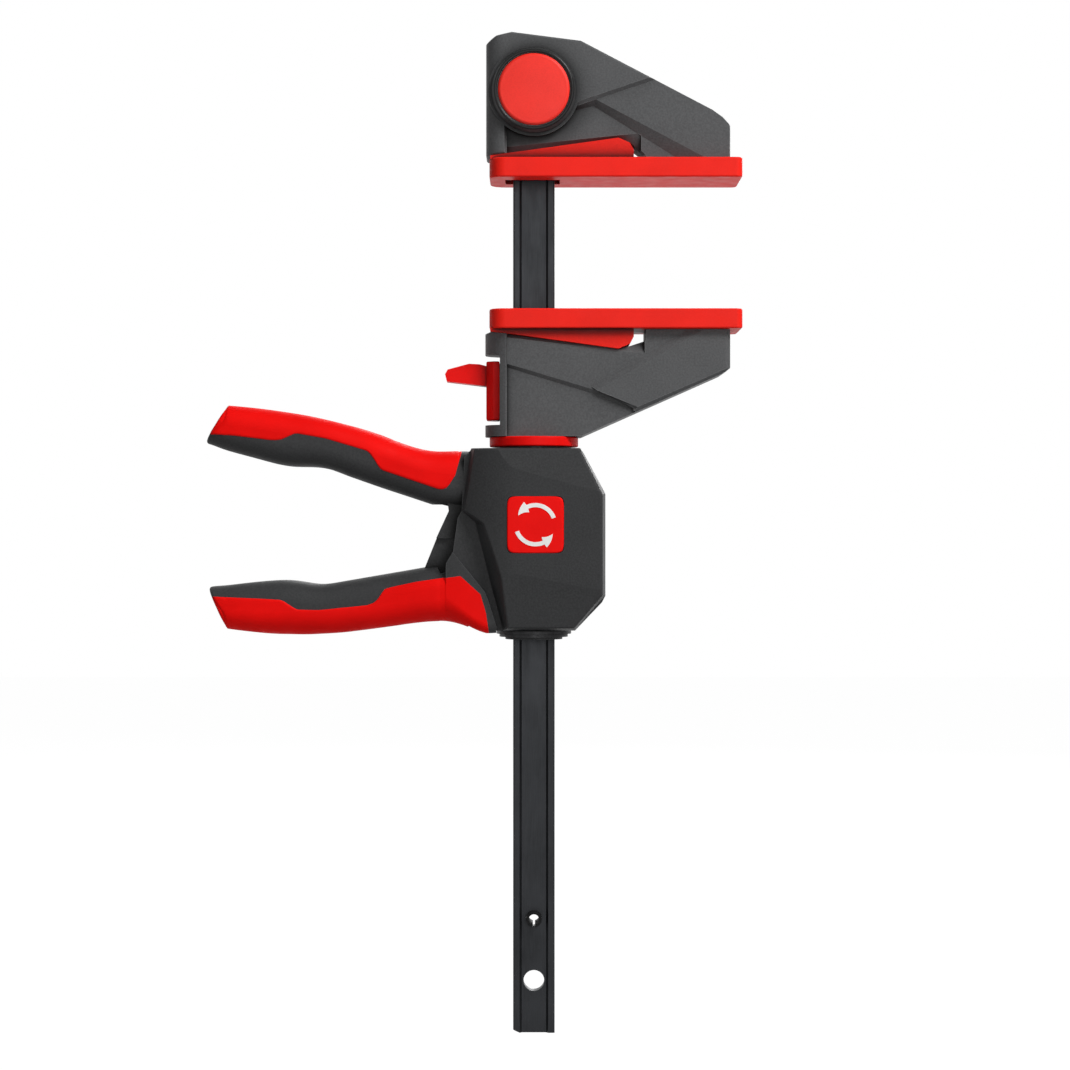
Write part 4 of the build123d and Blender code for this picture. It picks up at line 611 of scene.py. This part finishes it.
class CLAMP_OT_steel(PieceOperator):
    """Finish the rail, pins, screws, plates, washers and springs"""

    bl_idname = "clamp.steel"
    bl_label = "Steel"

    def make(self, colours, sizes, studio):
        finish_nodes(burnished_steel("rail_steel", colours.rail), "rail")
        finish_nodes(bright_steel("plated_steel", colours.steel), "lock_pin", "yoke_screws", "head_pin",
                     "fulcrum_pin", "cover_screws", "pivot_pin", "fork_rivets")
        finish_nodes(bright_steel("dark_steel", colours.dark_steel, 0.42), "end_washer", "retaining_ring",
                     "top_washer")
        finish_nodes(bright_steel("blued_steel", scaled(colours.dark_steel, 0.5), 0.7), "stop_pin")
        finish_nodes(bright_steel("plate_steel", scaled(colours.steel, 0.6), 0.36), "brake_plate_upper",
                     "brake_plate_lower", "drive_plate_1", "drive_plate_2", "drive_plate_3", "thrust_ring",
                     "drive_fork")
        finish_nodes(bright_steel("spring_wire", scaled(colours.steel, 0.7), 0.25), "lock_spring", "brake_spring",
                     "drive_spring", "lever_spring")


class CLAMP_OT_jaws(PieceOperator):
    """Finish the fixed jaw, the sliding jaw and the lock's cover"""

    bl_idname = "clamp.jaws"
    bl_label = "Jaws"

    def make(self, colours, sizes, studio):
        finish_nodes(moulded_plastic("jaw_plastic", colours.jaw), "fixed_jaw", "sliding_jaw", "lock_cover")


class CLAMP_OT_pads(PieceOperator):
    """Finish the two clamping pads"""

    bl_idname = "clamp.pads"
    bl_label = "Pads"

    def make(self, colours, sizes, studio):
        plastic = moulded_plastic("pad_plastic", colours.pad, grain_mm=0.5, depth_mm=0.01, roughness=0.45, gloss=0.12,
                                  rub=1.05, speckle=0.2)
        finish_nodes(plastic, "fixed_pad", "sliding_pad")


class CLAMP_OT_signals(PieceOperator):
    """Finish the release slide and the collar, and cap the lock button inside its black bezel, whose near-black also
    paints the shade in the gap round the cap
    """

    bl_idname = "clamp.signals"
    bl_label = "Signal parts"

    def make(self, colours, sizes, studio):
        signal_red = moulded_plastic("signal_plastic", colours.signal, grain_mm=0.5, depth_mm=0.01, roughness=0.42,
                                     gloss=0.08, rub=1.1, speckle=0.2)
        finish_nodes(signal_red, "release_slide", "collar_ring")
        cap_red = moulded_plastic("button_plastic", colours.button, grain_mm=0.5, depth_mm=0.02, roughness=0.42,
                                  gloss=0.2, rub=1.1, speckle=0.25)
        finish_nodes(cap_red, "lock_button")
        radius = sizes.button / MM
        cap = rounded_disc_profile(radius, CAP_FRONT, CAP_BACK, CAP_EDGE, CAP_DOME)
        make_piece("button_cap", *turned_ring(cap, LOCK_PLACE), cap_red, "lock", "red_plastic")
        turn = np.linspace(0.0, 2.0 * np.pi, 20, endpoint=False)
        bezel = np.stack([radius + BEZEL_GAP + BEZEL_HALF_W * np.cos(turn), BEZEL_Y + BEZEL_HALF_T * np.sin(turn)], 1)
        # Partly painted shade: this near-black ring is a black bezel and also stands for the shade in the gap round
        # the cap.
        bezel_black_and_gap_shade = moulded_plastic("bezel_plastic", colours.bezel, grain_mm=0.5, depth_mm=0.005, roughness=0.3,
                                      gloss=0.2, rub=1.5)
        make_piece("button_bezel", *turned_ring(bezel, LOCK_PLACE), bezel_black_and_gap_shade, "rail", "jaw_plastic")


class CLAMP_OT_inlay(PieceOperator):
    """Shape the square inlay and print the turn sign on it"""

    bl_idname = "clamp.inlay"
    bl_label = "Inlay"

    def make(self, colours, sizes, studio):
        half = sizes.inlay / MM / 2
        plate = rounded_disc_profile(half, INLAY_FRONT, INLAY_BACK, INLAY_EDGE, 0.0)
        red = moulded_plastic("inlay_plastic", colours.signal, grain_mm=0.5, depth_mm=0.008, roughness=0.4, gloss=0.05,
                              rub=1.1, speckle=0.1)
        piece = make_piece("inlay", *turned_ring(plate, INLAY_PLACE, rounded_square, 192), red, "handle",
                           "red_plastic")
        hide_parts("badge")
        white = moulded_plastic("sign_print", colours.sign, grain_mm=0.5, depth_mm=0.004, roughness=0.5, gloss=0.2,
                                rub=1.0, speckle=0.1)
        for number, start in enumerate(ARROW_STARTS):
            make_piece(f"turn_arrow_{number + 1}", *turn_arrow(start, sizes), white, "handle", "red_plastic")


class CLAMP_OT_housing(PieceOperator):
    """Finish the housing covers and the sleeve"""

    bl_idname = "clamp.housing"
    bl_label = "Housing"

    def make(self, colours, sizes, studio):
        finish_nodes(moulded_plastic("housing_plastic", colours.housing, gloss=0.1), "cover_front", "cover_rear")
        # Painted shade: each socket is a near-black six-pointed disc on its screw head, standing for the shade inside
        # the recess.
        socket = moulded_plastic("socket_black", colours.bezel, grain_mm=0.5, depth_mm=0.003, roughness=0.6, gloss=0.1,
                                 rub=1.2)
        for number, (x, z, face) in enumerate(REAR_SCREWS):
            profile = np.array([(POLE_R, face + SOCKET_PROUD), (SOCKET_R, face + SOCKET_PROUD),
                                (SOCKET_BASE_R, face - SOCKET_SUNK), (POLE_R, face - SOCKET_SUNK)])
            make_piece(f"screw_socket_{number + 1}", *turned_ring(profile, (x, z), six_points, 48), socket,
                       "handle", "bright_steel")
        finish_nodes(moulded_plastic("core_plastic", colours.grip_core, gloss=0.1), "core_sleeve", "handle_frame",
                     "lever_core")


class CLAMP_OT_grips(PieceOperator):
    """Finish the soft grips of the handle and the lever"""

    bl_idname = "clamp.grips"
    bl_label = "Soft grips"

    def make(self, colours, sizes, studio):
        rubber = soft_rubber("grip_rubber", colours.grip)
        finish_nodes(rubber, "handle_grip", "lever_grip")
        x = skin_stations(*HANDLE_SKIN_RUN)
        top = np.minimum(blended(x, HANDLE_TOP, HANDLE_SECTIONS), np.interp(x, *np.transpose(HANDLE_TIP)))
        bottom = blended(x, HANDLE_UNDER, HANDLE_SECTIONS)
        half = tip_taper(x, HANDLE_TAPER_X, blended(x, HANDLE_HALF, HANDLE_SECTIONS))
        edge = smooth_line(x, HANDLE_EDGE, EDGE_ROUND) - EDGE_LAP
        skin = soft_skin(x, half, top, bottom, edge, sizes, np.ones(len(x)))
        make_piece("handle_skin", *skin, rubber, "handle", "grip_rubber")
        x = skin_stations(*LEVER_SKIN_RUN)
        top = blended(x, LEVER_TOP, LEVER_SECTIONS)
        bottom = np.maximum(blended(x, LEVER_UNDER, LEVER_SECTIONS), np.interp(x, *np.transpose(LEVER_TIP)))
        half = tip_taper(x, LEVER_TAPER_X, blended(x, LEVER_HALF, LEVER_SECTIONS))
        edge = smooth_line(x, LEVER_EDGE, EDGE_ROUND) + EDGE_LAP
        fade = np.clip((LEVER_FADE_X - x) / LEVER_FADE_RUN, 0.0, 1.0) ** 0.5
        skin = soft_skin(x, half, top, bottom, edge, sizes, fade, flip=-1.0)
        make_piece("lever_skin", *skin, rubber, "lever", "grip_rubber")


# ---------------------------------------------------------------- studio
def seen_directly(tree):
    """1 for camera, glossy and transmission rays and 0 for all others."""
    path = tree.nodes.new("ShaderNodeLightPath")
    seen = path.outputs["Is Camera Ray"]
    for output in ("Is Glossy Ray", "Is Transmission Ray"):
        top = tree.nodes.new("ShaderNodeMath")
        top.operation = "MAXIMUM"
        tree.links.new(seen, top.inputs[0])
        tree.links.new(path.outputs[output], top.inputs[1])
        seen = top.outputs["Value"]
    return seen


def white_to_the_eye(tree, dim, strength):
    """A strength that is 1 where the surround is seen directly and dim where it only lights the object."""
    level = tree.nodes.new("ShaderNodeMapRange")
    tree.links.new(seen_directly(tree), level.inputs["Value"])
    level.inputs["To Min"].default_value = dim
    level.inputs["To Max"].default_value = 1.0
    tree.links.new(level.outputs["Result"], strength)


def area_lamp(name, power, size, place, target):
    """A square lamp at place that faces target."""
    lamp = bpy.data.lights.new(name, "AREA")
    lamp.energy = power
    lamp.size = size
    holder = bpy.data.objects.new(name, lamp)
    bpy.context.collection.objects.link(holder)
    holder.location = place
    direction = np.array(target) - np.array(place)
    flat = math.hypot(direction[0], direction[1])
    holder.rotation_euler = (math.atan2(flat, -direction[2]), 0.0, math.atan2(-direction[0], direction[1]))


def surround_light(strength):
    """A world that is white to the eye and lights the clamp only by the strength."""
    world = bpy.data.worlds.new("surround")
    world.use_nodes = True
    background = next(n for n in world.node_tree.nodes if n.type == "BACKGROUND")
    background.inputs["Color"].default_value = WHITE
    white_to_the_eye(world.node_tree, strength, background.inputs["Strength"])
    bpy.context.scene.world = world


def floor_paint():
    """Matt grey paint that takes the shadow, mixed with a white glow where it is seen directly."""
    paint = bpy.data.materials.new("floor_paint")
    paint.use_nodes = True
    tree = paint.node_tree
    shader = next(n for n in tree.nodes if n.type == "BSDF_PRINCIPLED")
    shader.inputs["Base Color"].default_value = FLOOR_GREY
    shader.inputs["Roughness"].default_value = FLOOR_ROUGHNESS
    glow = tree.nodes.new("ShaderNodeEmission")
    glow.inputs["Color"].default_value = WHITE
    glow.inputs["Strength"].default_value = FLOOR_GLOW
    share = tree.nodes.new("ShaderNodeMapRange")
    share.inputs["To Max"].default_value = FLOOR_GLOW_SHARE
    tree.links.new(seen_directly(tree), share.inputs["Value"])
    mix = tree.nodes.new("ShaderNodeMixShader")
    tree.links.new(share.outputs["Result"], mix.inputs["Fac"])
    tree.links.new(shader.outputs["BSDF"], mix.inputs[1])
    tree.links.new(glow.outputs["Emission"], mix.inputs[2])
    output = next(n for n in tree.nodes if n.type == "OUTPUT_MATERIAL")
    tree.links.new(mix.outputs["Shader"], output.inputs["Surface"])
    return paint


def studio_floor(level):
    """A flat square floor at the level."""
    corners = np.array([(-1, -1), (1, -1), (1, 1), (-1, 1)]) * FLOOR_SIDE / 2
    mesh = bpy.data.meshes.new("floor")
    mesh.from_pydata([(x, y, level) for x, y in corners], [], [(0, 1, 2, 3)])
    floor = bpy.data.objects.new("floor", mesh)
    bpy.context.collection.objects.link(floor)
    mesh.materials.append(floor_paint())


def front_camera(studio):
    """A level camera that faces the front of the clamp."""
    lens = bpy.data.cameras.new("camera")
    lens.sensor_fit = "HORIZONTAL"
    lens.angle = studio.field
    camera = bpy.data.objects.new("camera", lens)
    bpy.context.collection.objects.link(camera)
    camera.location = (CAMERA_X, -studio.distance, studio.height)
    camera.rotation_euler = (math.radians(90.0), 0.0, 0.0)
    bpy.context.scene.camera = camera


class CLAMP_OT_studio(PieceOperator):
    """Set up the floor, the lamps, the surround and the camera"""

    bl_idname = "clamp.studio"
    bl_label = "Studio"

    def make(self, colours, sizes, studio):
        bpy.context.scene.view_settings.view_transform = "Standard"
        surround_light(studio.surround)
        for name, power, side, place in LAMPS:
            area_lamp(name, getattr(studio, power), side, place, (LAMP_TARGET_X, 0.0, studio.height))
        studio_floor(CAD_BOX[0][2] - studio.floor_drop)
        front_camera(studio)


# ---------------------------------------------------------------- panel and main
PIECES = (CLAMP_OT_steel, CLAMP_OT_jaws, CLAMP_OT_pads, CLAMP_OT_signals, CLAMP_OT_inlay, CLAMP_OT_housing,
          CLAMP_OT_grips, CLAMP_OT_studio)


class CLAMP_PT_panel(bpy.types.Panel):
    """Lists the clamp's settings and the operators that dress it"""

    bl_idname = "CLAMP_PT_panel"
    bl_label = "Bar Clamp"
    bl_space_type = "VIEW_3D"
    bl_region_type = "UI"
    bl_category = "Clamp"

    def draw(self, context):
        for group in (context.scene.clamp_sizes, context.scene.clamp_colours, context.scene.clamp_studio):
            for name in group.__annotations__:
                self.layout.prop(group, name)
        for piece in PIECES:
            self.layout.operator(piece.bl_idname)


CLASSES = (ClampSizes, ClampColours, StudioSettings, *PIECES, CLAMP_PT_panel)


def register():
    for cls in CLASSES:
        bpy.utils.register_class(cls)
    bpy.types.Scene.clamp_sizes = PointerProperty(type=ClampSizes)
    bpy.types.Scene.clamp_colours = PointerProperty(type=ClampColours)
    bpy.types.Scene.clamp_studio = PointerProperty(type=StudioSettings)


def unregister():
    del bpy.types.Scene.clamp_studio
    del bpy.types.Scene.clamp_colours
    del bpy.types.Scene.clamp_sizes
    for cls in reversed(CLASSES):
        bpy.utils.unregister_class(cls)


def main():
    register()
    for piece in PIECES:
        group, name = piece.bl_idname.split(".")
        getattr(getattr(bpy.ops, group), name)()


if __name__ == "__main__":
    main()
